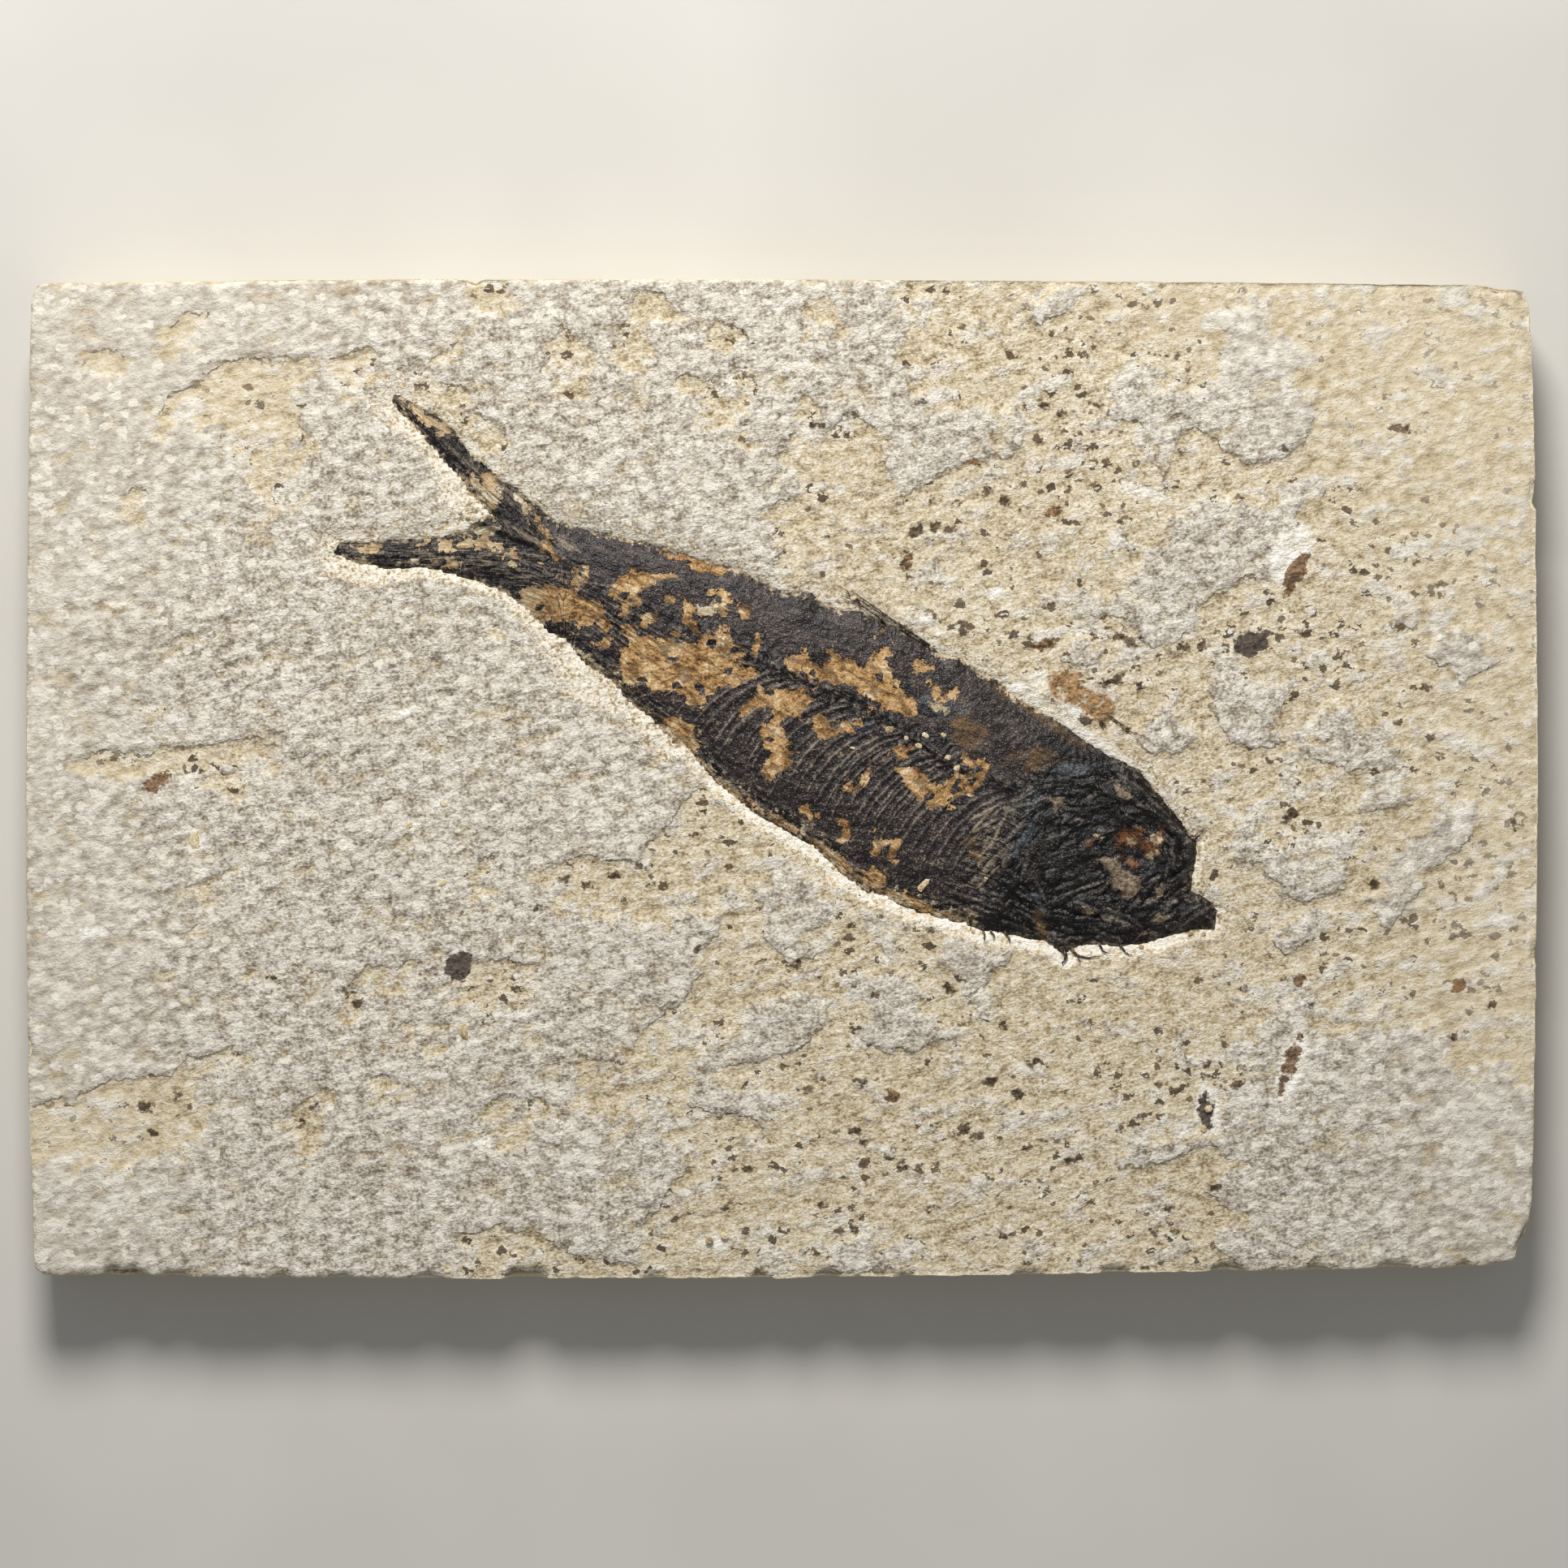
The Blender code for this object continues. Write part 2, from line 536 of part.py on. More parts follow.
def add_backbone(tools):
    """A row of six-sided vertebrae along the backbone, each half sunk in the crust."""
    for number in range(VERTEBRA_COUNT):
        middle, direction = along_path(SPINE_LINE, (number + 0.5) / VERTEBRA_COUNT)
        following, _ = along_path(SPINE_LINE, (number + 1.5) / VERTEBRA_COUNT)
        spacing = max((following - middle).length, 1.2)
        shape = bmesh.new()
        bmesh.ops.create_cone(
            shape, cap_ends=True, segments=VERTEBRA_SIDES, radius1=VERTEBRA_RADIUS * MM,
            radius2=VERTEBRA_RADIUS * MM, depth=spacing * VERTEBRA_FILL * MM,
        )
        axis = Vector((direction.x, direction.y, 0.0))
        turn = axis.to_track_quat("Z", "Y").to_matrix()
        bmesh.ops.rotate(shape, matrix=turn, verts=shape.verts[:])
        spot = Vector((middle.x, middle.y, crust_height(*to_fish(middle.x, middle.y)) - 0.1))
        bmesh.ops.translate(shape, vec=spot * MM, verts=shape.verts[:])
        mark_as_tool(object_from(shape, f"vertebra_{number:02d}", tools))


def add_tail_rays(tools):
    """Rays that fan along each tail lobe."""
    for lobe_name, lobe in (("upper", UPPER_LOBE), ("lower", LOWER_LOBE)):
        place = lobe_place(lobe, 0.0, None)
        for number in range(RAYS_PER_LOBE):
            across = between(-0.72, 0.72, number / (RAYS_PER_LOBE - 1))
            spots = [place(between(-0.45, 0.8, step / (RAY_POINTS - 1)), across) for step in range(RAY_POINTS)]
            add_tube(f"ray_{lobe_name}_{number}", spots, RAY_RADIUS, tools)


def add_lens(name, middle, half_length, half_height, rise, turn, tools):
    """A low rounded bone plate, as half an ellipsoid standing out of the crust."""
    shape = bmesh.new()
    bmesh.ops.create_uvsphere(shape, u_segments=14, v_segments=8, radius=1.0)
    bmesh.ops.scale(shape, vec=Vector((half_length, half_height, rise)) * MM, verts=shape.verts[:])
    turned = Vector((math.cos(turn), math.sin(turn), 0.0)).to_track_quat("X", "Z").to_matrix()
    bmesh.ops.rotate(shape, matrix=turned, verts=shape.verts[:])
    spot = Vector((middle[0], middle[1], crust_height(*to_fish(*middle)) - 0.1))
    bmesh.ops.translate(shape, vec=spot * MM, verts=shape.verts[:])
    mark_as_tool(object_from(shape, name, tools))


def add_head_bones(tools):
    """Gill cover, eye ring, cheek bones and lower jaw."""
    add_lens("gill_cover", *GILL_COVER, GILL_COVER_TURN, tools)
    add_lens("lower_jaw", *LOWER_JAW, LOWER_JAW_TURN, tools)
    for number, bone in enumerate(CHEEK_BONES):
        add_lens(f"cheek_bone_{number}", *bone, tools)
    height = crust_height(*to_fish(*EYE_MIDDLE)) * MM
    bpy.ops.mesh.primitive_torus_add(
        major_segments=16, minor_segments=6, major_radius=EYE_RING_RADIUS * MM,
        minor_radius=EYE_RING_THICKNESS * MM, location=(EYE_MIDDLE[0] * MM, EYE_MIDDLE[1] * MM, height),
    )
    ring = bpy.context.object
    ring.name = "eye_ring"
    for collection in list(ring.users_collection):
        collection.objects.unlink(ring)
    tools.objects.link(ring)
    mark_as_tool(ring)


def make_fish(pieces, material):
    """The fish's crust, and the tail lobes and raised bones that are to be joined to it."""
    floor = PLATE_THICKNESS - CRUST_FLOOR
    fish = plate_from_grid("fossil_fish", BODY_COLUMNS, BODY_ROWS, body_place(0.0, None), floor, pieces)
    fish.data.materials.append(material)
    bones = add_collection("fish_bones")
    lobe_floor = PLATE_THICKNESS - LOBE_FLOOR
    for lobe_name, lobe in (("upper", UPPER_LOBE), ("lower", LOWER_LOBE)):
        place = lobe_place(lobe, 0.0, None)
        mark_as_tool(plate_from_grid(f"{lobe_name}_lobe", LOBE_COLUMNS, LOBE_ROWS, place, lobe_floor, bones))
    add_ribs(bones)
    add_backbone(bones)
    add_tail_rays(bones)
    add_head_bones(bones)
    return fish, bones


def main():
    """Model the slab and its fish; the Booleans come last, so that they are worked out only once."""
    clear_scene()
    pieces = add_collection("fossil_fish_slab")
    limestone = principled("pale_laminated_limestone", LIMESTONE_COLOUR, LIMESTONE_ROUGHNESS)
    fossil = principled("carbonised_fish_bone", FOSSIL_COLOUR, FOSSIL_ROUGHNESS)
    slab, slab_cutters = make_slab(pieces, limestone)
    fish, bones = make_fish(pieces, fossil)
    for cutters in slab_cutters:
        add_boolean(slab, "DIFFERENCE", cutters)
    add_boolean(fish, "UNION", bones)


main()
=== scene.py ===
"""Dresses the fossil fish slab: limestone matrix, carbonised fish, loose crumbs, floor, light and camera.

Everything is in metres in the CAD frame. Sizes are written in millimetres and turned by MM, and the
points of lines and outlines are written in tenths of a millimetre where paired() reads them.
+X runs along the slab towards the fish's head, +Y across it towards the fish's back, +Z is up.
"""

import logging
import math
from dataclasses import dataclass, replace
from enum import Enum
from typing import Any

import bpy
import numpy as np
from mathutils import Matrix, Vector


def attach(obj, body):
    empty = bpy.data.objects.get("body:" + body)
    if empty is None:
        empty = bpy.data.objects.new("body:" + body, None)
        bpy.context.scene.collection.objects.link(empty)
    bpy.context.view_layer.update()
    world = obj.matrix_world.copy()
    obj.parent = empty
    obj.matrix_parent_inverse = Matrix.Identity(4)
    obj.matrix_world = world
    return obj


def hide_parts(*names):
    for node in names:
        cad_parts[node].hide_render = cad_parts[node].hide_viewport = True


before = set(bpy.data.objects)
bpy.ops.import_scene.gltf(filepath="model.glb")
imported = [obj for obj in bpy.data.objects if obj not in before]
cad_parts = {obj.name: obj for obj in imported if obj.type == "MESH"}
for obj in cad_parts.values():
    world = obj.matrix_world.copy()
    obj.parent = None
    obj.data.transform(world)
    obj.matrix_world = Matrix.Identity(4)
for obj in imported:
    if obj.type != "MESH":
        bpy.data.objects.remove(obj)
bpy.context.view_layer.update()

LOG = logging.getLogger("fossil_fish_slab")
MM = 0.001
TENTHS = 10
FACE_HEIGHT = 9.5
BODY = "root"

Array = np.ndarray
Points = tuple[tuple[float, float], ...]
Colour = tuple[float, float, float, float]
Pair = tuple[float, float]
Triple = tuple[float, float, float]
Socket = bpy.types.NodeSocket
Thing = bpy.types.Object

# Sockets of the colour Mix node, which repeats its names for each kind of value
MIX_FACTOR = 0
MIX_LOW = 6
MIX_HIGH = 7
MIX_RESULT = 2


def paint(code: str) -> Colour:
    """Turn an sRGB hex colour to linear.

    Args:
        code: six hex digits after a hash.

    Returns:
        Linear red, green, blue and an alpha of one.
    """
    parts = [int(code[i:i + 2], 16) / 255 for i in (1, 3, 5)]
    red, green, blue = (v / 12.92 if v <= 0.04045 else ((v + 0.055) / 1.055) ** 2.4 for v in parts)
    return (red, green, blue, 1.0)


def paired(*tenths: float) -> Points:
    """Points of a line or an outline from X and Y by turns, in tenths of a millimetre."""
    return tuple((x / TENTHS, y / TENTHS) for x, y in zip(tenths[::2], tenths[1::2]))


def outlines(*rows: tuple[int, ...]) -> tuple[Points, ...]:
    """Several lines or outlines, each written as paired() takes it."""
    return tuple(paired(*row) for row in rows)


def add_node(tree: bpy.types.NodeTree, kind: str, settings: dict[Any, Any] | None = None,
             links: dict[Any, Any] | None = None) -> bpy.types.Node:
    """Add one node to a material.

    Args:
        tree: the material's node tree.
        kind: the node's type, such as "ShaderNodeMath".
        settings: values of sockets, by name or number, and of the node's own options. "stops" holds
            the (place, colour) pairs of a colour ramp.
        links: output sockets to join to this node's inputs, by name or number.

    Returns:
        The new node.
    """
    node = tree.nodes.new(kind)
    for name, value in (settings or {}).items():
        if name == "stops":
            ramp = node.color_ramp
            while len(ramp.elements) < len(value):
                ramp.elements.new(1.0)
            for element, (place, colour) in zip(ramp.elements, value):
                element.position = place
                element.color = colour
        elif isinstance(name, int) or name in node.inputs:
            node.inputs[name].default_value = value
        else:
            setattr(node, name, value)
    for name, source in (links or {}).items():
        tree.links.new(source, node.inputs[name])
    return node


def soft_step(low: float, high: float, value: Array) -> Array:
    """Rise smoothly from 0 at low to 1 at high; low may be the larger, for a fall.

    Args:
        low: value where the result is 0.
        high: value where the result is 1.
        value: what is measured.

    Returns:
        The step, from 0 to 1.
    """
    share = np.clip((value - low) / (high - low), 0.0, 1.0)
    return share * share * (3.0 - 2.0 * share)


def mix(low: Any, high: Any, share: Any) -> Any:
    """The value a share of the way from low to high."""
    return low + (high - low) * share


class GroundNoise:
    """Seeded smooth noise over the plane, with waves in millimetres."""

    TABLE = 512

    def __init__(self, seed: int) -> None:
        """Shuffle the table of slopes.

        Args:
            seed: the seed of the shuffle.
        """
        rng = np.random.default_rng(seed)
        self.order = rng.permutation(self.TABLE)
        turns = rng.random(self.TABLE) * 2.0 * math.pi
        self.slopes = np.stack([np.cos(turns), np.sin(turns)], axis=-1)
        self.scatter = rng.random((self.TABLE, 2))

    def cell(self, column: Array, row: Array) -> Array:
        """Table entry of each whole-numbered cell."""
        return self.order[(self.order[column % self.TABLE] + row) % self.TABLE]

    def hills(self, x: Array, y: Array, wave: float, wave_y: float | None = None) -> Array:
        """Smooth noise from about -1 to 1.

        Args:
            x: places along the first axis.
            y: places along the second.
            wave: distance between hills along the first axis.
            wave_y: the same along the second axis; left out, it is the same.

        Returns:
            The noise at each place.
        """
        u = np.asarray(x) / wave
        v = np.asarray(y) / (wave_y or wave)
        column, row = np.floor(u).astype(int), np.floor(v).astype(int)
        du, dv = u - column, v - row
        fade_u = du ** 3 * (du * (du * 6 - 15) + 10)
        fade_v = dv ** 3 * (dv * (dv * 6 - 15) + 10)
        corners = []
        for right in (0, 1):
            for up in (0, 1):
                slope = self.slopes[self.cell(column + right, row + up)]
                corners.append(slope[..., 0] * (du - right) + slope[..., 1] * (dv - up))
        left = mix(corners[0], corners[1], fade_v)
        rest = mix(corners[2], corners[3], fade_v)
        return mix(left, rest, fade_u) * 1.6

    def layered(self, x: Array, y: Array, wave: float, layers: int = 4, gain: float = 0.55) -> Array:
        """Several octaves of hills added up, each half as wide as the last.

        Args:
            x: places along the first axis.
            y: places along the second.
            wave: distance between the largest hills.
            layers: how many octaves.
            gain: height of each octave against the one before.

        Returns:
            The noise, from about -1 to 1.
        """
        total, height, reach = 0.0, 1.0, 0.0
        for layer in range(layers):
            total = total + height * self.hills(x + 31.7 * layer, y - 17.3 * layer, wave / 2 ** layer)
            reach += height
            height *= gain
        return total / reach

    def grains(self, x: Array, y: Array, wave: float) -> tuple[Array, Array]:
        """Scattered grains, one in each cell.

        Args:
            x: places along the first axis.
            y: places along the second.
            wave: distance between grains.

        Returns:
            Distance to the nearest grain's middle, in waves, and that grain's own number from 0 to 1.
        """
        u, v = np.asarray(x) / wave, np.asarray(y) / wave
        column, row = np.floor(u).astype(int), np.floor(v).astype(int)
        nearest = np.full(u.shape, 9.0)
        number = np.zeros(u.shape)
        for right in (-1, 0, 1):
            for up in (-1, 0, 1):
                entry = self.cell(column + right, row + up)
                spot = self.scatter[entry]
                away = np.hypot(column + right + spot[..., 0] - u, row + up + spot[..., 1] - v)
                closer = away < nearest
                nearest = np.where(closer, away, nearest)
                number = np.where(closer, entry / self.TABLE, number)
        return nearest, number


# The unevenness of the rock, which the fish's outline shares, and of the fish's own crust
ROCK_NOISE = GroundNoise(11)
FISH_NOISE = GroundNoise(5)


@dataclass(frozen=True)
class Stroke:
    """Where each place lies against a drawn line."""

    distance: Array
    along: Array
    side: Array


def against_line(points: Points, x: Array, y: Array) -> Stroke:
    """Measure places against an open line.

    Args:
        points: the line's points.
        x: places along X.
        y: places along Y.

    Returns:
        Distance to the line, length along it of the nearest point, and the signed distance, which is
        positive to the left of the line.
    """
    best = np.full(np.shape(x), 1e9)
    along = np.zeros(np.shape(x))
    side = np.zeros(np.shape(x))
    travelled = 0.0
    for (x0, y0), (x1, y1) in zip(points, points[1:]):
        dx, dy = x1 - x0, y1 - y0
        length = math.hypot(dx, dy)
        share = np.clip(((x - x0) * dx + (y - y0) * dy) / (length * length), 0.0, 1.0)
        away = np.hypot(x - x0 - share * dx, y - y0 - share * dy)
        closer = away < best
        cross = dx * (y - y0) - dy * (x - x0)
        best = np.where(closer, away, best)
        along = np.where(closer, travelled + share * length, along)
        side = np.where(closer, np.sign(cross) * away, side)
        travelled += length
    return Stroke(best, along, side)


def signed_gap(outline: Points, x: Array, y: Array, reach: float = 6.0) -> Array:
    """Distance to a closed outline, negative inside it.

    Args:
        outline: the outline's corners.
        x: places along X.
        y: places along Y.
        reach: places further away than this from the outline's box get this distance.

    Returns:
        The signed distance at each place.
    """
    corners = np.array(outline)
    low, high = corners.min(axis=0) - reach, corners.max(axis=0) + reach
    near = (x > low[0]) & (x < high[0]) & (y > low[1]) & (y < high[1])
    gap = np.full(np.shape(x), reach)
    px, py = x[near], y[near]
    best = np.full(px.shape, 1e9)
    inside = np.zeros(px.shape, dtype=bool)
    for (x0, y0), (x1, y1) in zip(outline, outline[1:] + outline[:1]):
        dx, dy = x1 - x0, y1 - y0
        share = np.clip(((px - x0) * dx + (py - y0) * dy) / (dx * dx + dy * dy), 0.0, 1.0)
        best = np.minimum(best, np.hypot(px - x0 - share * dx, py - y0 - share * dy))
        crosses = (y0 > py) != (y1 > py)
        rise = dy if abs(dy) > 1e-12 else 1e-12
        inside ^= crosses & (px < dx * (py - y0) / rise + x0)
    gap[near] = np.minimum(np.where(inside, -best, best), reach)
    return gap


def blob(x: Array, y: Array, middle: Pair, size: Pair, turn: float) -> Array:
    """Rough signed distance to a turned ellipse, negative inside.

    Args:
        x: places along X.
        y: places along Y.
        middle: the ellipse's middle.
        size: its length and its width.
        turn: degrees that its length is turned from +X.

    Returns:
        The signed distance at each place.
    """
    angle = math.radians(turn)
    dx, dy = x - middle[0], y - middle[1]
    u = (dx * math.cos(angle) + dy * math.sin(angle)) / (size[0] / 2)
    v = (dy * math.cos(angle) - dx * math.sin(angle)) / (size[1] / 2)
    return (np.hypot(u, v) - 1.0) * min(size) / 2


def turned(x: Array, y: Array, angle: float) -> tuple[Array, Array]:
    """Turn places about the origin by an angle in radians."""
    cos, sin = math.cos(angle), math.sin(angle)
    return x * cos - y * sin, x * sin + y * cos


def crescent(points: Points, width: float) -> Points:
    """Close a line to a thin crescent that hangs below it.

    Args:
        points: the crescent's upper edge.
        width: how far it hangs at its middle.

    Returns:
        The closed outline.
    """
    last = len(points) - 1
    lower = []
    for index in range(last - 1, 0, -1):
        hang = width * math.sin(math.pi * index / last)
        lower.append((points[index][0] + 0.15 * hang, points[index][1] - hang))
    if last == 1:
        middle_x = (points[0][0] + points[1][0]) / 2
        middle_y = (points[0][1] + points[1][1]) / 2
        lower.append((middle_x, middle_y - width))
    return tuple(points) + tuple(lower)


def mesh_from(name: str, spots: Array, faces: list[tuple[int, ...]] | Array,
              fields: dict[str, Array] | None = None, smooth: bool = True) -> Thing:
    """Make a mesh object from arrays.

    Args:
        name: the object's name.
        spots: the points, in millimetres.
        faces: the point numbers of each face.
        fields: one number, or three, a point for each named attribute, which the materials read.
        smooth: whether the faces are shaded smooth.

    Returns:
        The new object, linked to the scene.
    """
    mesh = bpy.data.meshes.new(name)
    mesh.from_pydata((spots * MM).tolist(), [], [tuple(int(i) for i in face) for face in faces])
    for field_name, values in (fields or {}).items():
        numbers = np.asarray(values, dtype=np.float32)
        if numbers.ndim == 2:
            layer = mesh.attributes.new(field_name, "FLOAT_VECTOR", "POINT")
            layer.data.foreach_set("vector", numbers.ravel())
        else:
            layer = mesh.attributes.new(field_name, "FLOAT", "POINT")
            layer.data.foreach_set("value", numbers)
    mesh.polygons.foreach_set("use_smooth", np.full(len(mesh.polygons), smooth))
    mesh.update()
    thing = bpy.data.objects.new(name, mesh)
    bpy.context.scene.collection.objects.link(thing)
    return thing


def grid_faces(numbers: Array) -> Array:
    """Quads between neighbouring entries of a table of point numbers, wound to face +Z.

    Args:
        numbers: point numbers, X along the first axis and Y along the second.

    Returns:
        One row of four point numbers for each quad.
    """
    quads = [numbers[:-1, :-1], numbers[1:, :-1], numbers[1:, 1:], numbers[:-1, 1:]]
    return np.stack([part.ravel() for part in quads], axis=-1)


# Angular patches of the fish where the film has flaked off the ochre rock
OCHRE_PATCHES = outlines(
    (81, -92, 96, -90, 103, -100, 100, -109, 86, -106),
    (28, -60, 44, -66, 64, -82, 60, -89, 42, -76, 29, -68),
    (99, -110, 122, -116, 146, -126, 176, -136, 174, -140, 142, -133, 116, -122),
    (-72, 0, -52, -8, -32, -26, -39, -29, -62, -10), (-16, -32, 2, -40, 16, -50, 12, -55, -8, -44),
    (90, -74, 99, -54, 103, -57, 95, -77), (107, -79, 115, -58, 119, -61, 112, -80),
    (80, 12, 88, 19, 92, 15, 86, 10),
    (-265, 177, -262, 192, -245, 194, -220, 190, -205, 184, -190, 180, -177, 173, -176, 167, -186, 162,
     -196, 153, -204, 152, -212, 159, -230, 159, -246, 160, -256, 166),
    (-202, 209, -196, 209, -199, 199, -205, 197),
    (-174, 190, -164, 202, -152, 207, -144, 197, -142, 183, -141, 174, -152, 178, -156, 162, -166, 163,
     -162, 176, -172, 181),
    (-152, 209, -132, 209, -115, 207, -106, 203, -119, 199, -139, 194, -147, 199),
    (-142, 163, -133, 169, -124, 165, -126, 157, -135, 152, -141, 155),
    (-158, 152, -150, 153, -147, 145, -136, 144, -126, 140, -105, 146, -108, 139, -87, 132, -78, 149,
     -70, 145, -62, 148, -56, 142, -49, 143, -46, 136, -39, 135, -31, 126, -25, 145, -22, 136, -24, 124,
     -40, 124, -49, 118, -30, 112, -22, 104, -50, 92, -63, 94, -69, 86, -74, 79, -82, 72, -94, 74, -99, 84,
     -108, 88, -133, 91, -140, 97, -155, 94, -163, 102, -162, 120, -164, 131, -154, 133, -156, 143),
    (-105, 159, -99, 167, -99, 181, -93, 179, -88, 172, -90, 162, -84, 156, -83, 147, -90, 146, -96, 154),
    (-69, 186, -62, 191, -54, 185, -50, 179, -57, 172, -68, 173),
    (-191, 137, -182, 143, -172, 143, -174, 135, -182, 130),
    (-39, 73, -24, 89, -4, 91, 27, 90, 29, 79, 18, 66, 3, 62, 0, 52, 1, 45, 9, 30, 17, 26, 8, 14, -5, 8,
     -10, -3, -16, 0, -22, 8, -16, 17, -9, 26, -16, 32, -22, 44, -21, 54, -10, 61, -8, 71, -26, 70, -42, 63),
    (31, 56, 31, 64, 39, 66, 49, 58, 74, 58, 83, 60, 76, 53, 61, 49, 52, 41, 38, 42, 29, 48),
    (3, 111, 7, 125, 27, 127, 30, 119, 39, 113, 44, 129, 52, 130, 61, 120, 72, 120, 81, 112, 92, 118,
     99, 132, 109, 134, 111, 126, 104, 120, 111, 110, 110, 96, 123, 86, 134, 76, 137, 66, 130, 61, 118, 68,
     109, 66, 100, 61, 98, 76, 90, 82, 79, 84, 74, 93, 50, 96, 45, 102, 34, 97, 24, 100, 11, 102),
    (133, 106, 134, 115, 142, 122, 149, 114, 144, 108),
    (152, 79, 151, 93, 159, 94, 161, 84, 169, 88, 176, 93, 174, 83, 164, 79),
    (112, 12, 137, 13, 146, -1, 162, -9, 173, 4, 183, 24, 208, 15, 204, 4, 192, -12, 166, -22, 150, -32,
     132, -16, 121, -2),
    (108, 26, 119, 34, 132, 31, 130, 24, 120, 21), (66, -9, 73, -6, 82, 5, 89, 8, 88, 1, 80, -7, 72, -11),
    (16, -30, 24, -26, 32, -36, 29, -41, 20, -35), (50, -37, 69, -40, 70, -60, 57, -65, 60, -50),
    (57, -87, 63, -84, 67, -90, 62, -95), (96, 149, 106, 153, 104, 146),
    (-319, 303, -312, 310, -306, 306, -310, 300), (-435, 231, -420, 236, -405, 236, -404, 229, -420, 228),
    (-369, 233, -364, 242, -355, 241, -356, 233), (-347, 230, -345, 241, -332, 240, -331, 230),
    (-326, 234, -323, 242, -311, 241, -310, 234),
    (-309, 242, -297, 248, -291, 239, -281, 236, -280, 231, -308, 232),
    (-342, 213, -338, 222, -326, 221, -326, 212), (-282, 221, -280, 229, -266, 229, -264, 217, -274, 214),
    (-242, 229, -239, 240, -233, 238, -234, 229),
    (-254, 276, -249, 272, -242, 256, -228, 232, -232, 232, -246, 252),
    (-305, 292, -303, 308, -292, 310, -282, 302, -290, 289),
    (-373, 376, -360, 368, -348, 363, -333, 354, -332, 347, -343, 346, -358, 352, -366, 363),
    (-247, 216, -242, 221, -240, 216), (-203, 200, -199, 209, -196, 202),
    (-122, 64, -106, 62, -90, 54, -84, 34, -92, 24, -104, 38, -116, 54),
    (-97, 216, -86, 220, -66, 215, -54, 209, -64, 206, -84, 209),
    (-120, 227, -108, 228, -94, 222, -106, 219),
    (-243, 244, -236, 242, -229, 229, -224, 218, -230, 219, -238, 232),
    (-212, 196, -206, 206, -198, 204, -204, 192), (-186, 156, -178, 162, -170, 154, -178, 149),
    (-120, 184, -112, 189, -108, 180, -116, 176), (-148, 132, -134, 136, -128, 130, -142, 126),
    (-44, 169, -34, 173, -30, 164, -40, 160),
)
# Browner patches of the film
UMBER_PATCHES = outlines(
    (170, 59, 183, 61, 196, 59, 209, 52, 204, 37, 193, 28, 180, 32, 171, 43),
    (253, -129, 264, -128, 268, -144, 264, -162, 256, -156),
    (185, -62, 194, -59, 203, -74, 198, -86, 188, -80), (219, 15, 226, 32, 243, 30, 238, 16),
    (240, 7, 250, 33, 272, 35, 280, 18, 262, 8),
    (25, -64, 52, -78, 80, -92, 100, -112, 84, -113, 56, -95, 30, -74),
    (205, 106, 230, 93, 260, 70, 280, 55, 310, 32, 306, 26, 275, 48, 254, 64, 226, 84, 203, 98),
)
# Pale stone or chalk on the film, and one painted glare on the back at X 15 to 16.7 mm
PALE_PATCHES = outlines(
    (370, -59, 378, -55, 383, -64, 377, -70), (367, -76, 373, -75, 372, -81), (349, -60, 353, -58, 354, -64),
    (-85, 174, -76, 173, -69, 179, -69, 163, -84, 166), (150, 75, 160, 76, 167, 68, 158, 67),
    (-319, 276, -312, 286, -304, 280, -310, 272), (-316, 296, -310, 302, -298, 296, -306, 290),
    (-306, 288, -292, 298, -282, 294, -282, 282, -288, 272, -300, 272),
    (-272, 289, -264, 289, -256, 274, -262, 272), (-314, 250, -302, 257, -286, 252, -289, 244, -308, 243),
    (-128, 199, -124, 203, -121, 199, -125, 195), (-429, 218, -426, 223, -418, 221, -420, 217),
    (-374, 218, -372, 223, -366, 222, -367, 218),
)
# Beige bone plates: cheek, jaw, throat, and the speckled fork of the tail
PLATE_PATCHES = outlines(
    (320, -81, 337, -78, 343, -90, 358, -98, 360, -107, 358, -119, 347, -121, 341, -115, 333, -110, 330, -98,
     327, -90),
    (374, -110, 383, -109, 385, -115, 376, -117), (373, -142, 381, -136, 390, -136, 388, -142, 376, -146),
    (357, -154, 366, -152, 376, -158, 358, -160), (302, -131, 312, -132, 314, -140, 308, -139),
    (330, -2, 342, -4, 349, -18, 344, -22, 334, -12), (270, -19, 279, -16, 286, -26, 274, -32),
    (-336, 252, -330, 270, -316, 282, -304, 286, -294, 272, -302, 254, -318, 246),
    (-426, 240, -414, 240, -418, 232, -428, 232), (-354, 224, -342, 226, -338, 218, -350, 216),
)
# Rust-brown bone inside the orbit, in ragged pieces
RUST_PATCHES = outlines(
    (333, -61, 342, -52, 354, -47, 364, -51, 360, -62, 352, -69, 340, -71),
    (362, -69, 373, -56, 384, -50, 385, -64, 378, -74, 371, -83, 364, -80),
    (340, -78, 352, -75, 362, -85, 358, -93, 348, -87), (304, -64, 310, -60, 312, -70, 304, -74),
)
# Smooth blades of black bone, their satin sheen painted in blue-grey: over the cheek, by the backbone and
# down from the gill's hinge; the one by the backbone at X 13 to 18 mm is a painted glare
SHEENED_BONE_PATCHES = outlines(
    (268, 9, 286, 15, 306, 14, 321, 14, 306, 6, 280, 1),
    (130, 74, 144, 83, 166, 80, 180, 69, 166, 62, 140, 64),
    (264, -30, 256, -32, 242, -52, 230, -76, 236, -78, 252, -56), (242, -22, 259, -12, 261, -16, 246, -34),
    (369, -89, 388, -84, 390, -88, 370, -95), (68, 48, 92, 60, 94, 52, 72, 42),
    (247, -110, 260, -118, 267, -134, 258, -130, 248, -119),
)


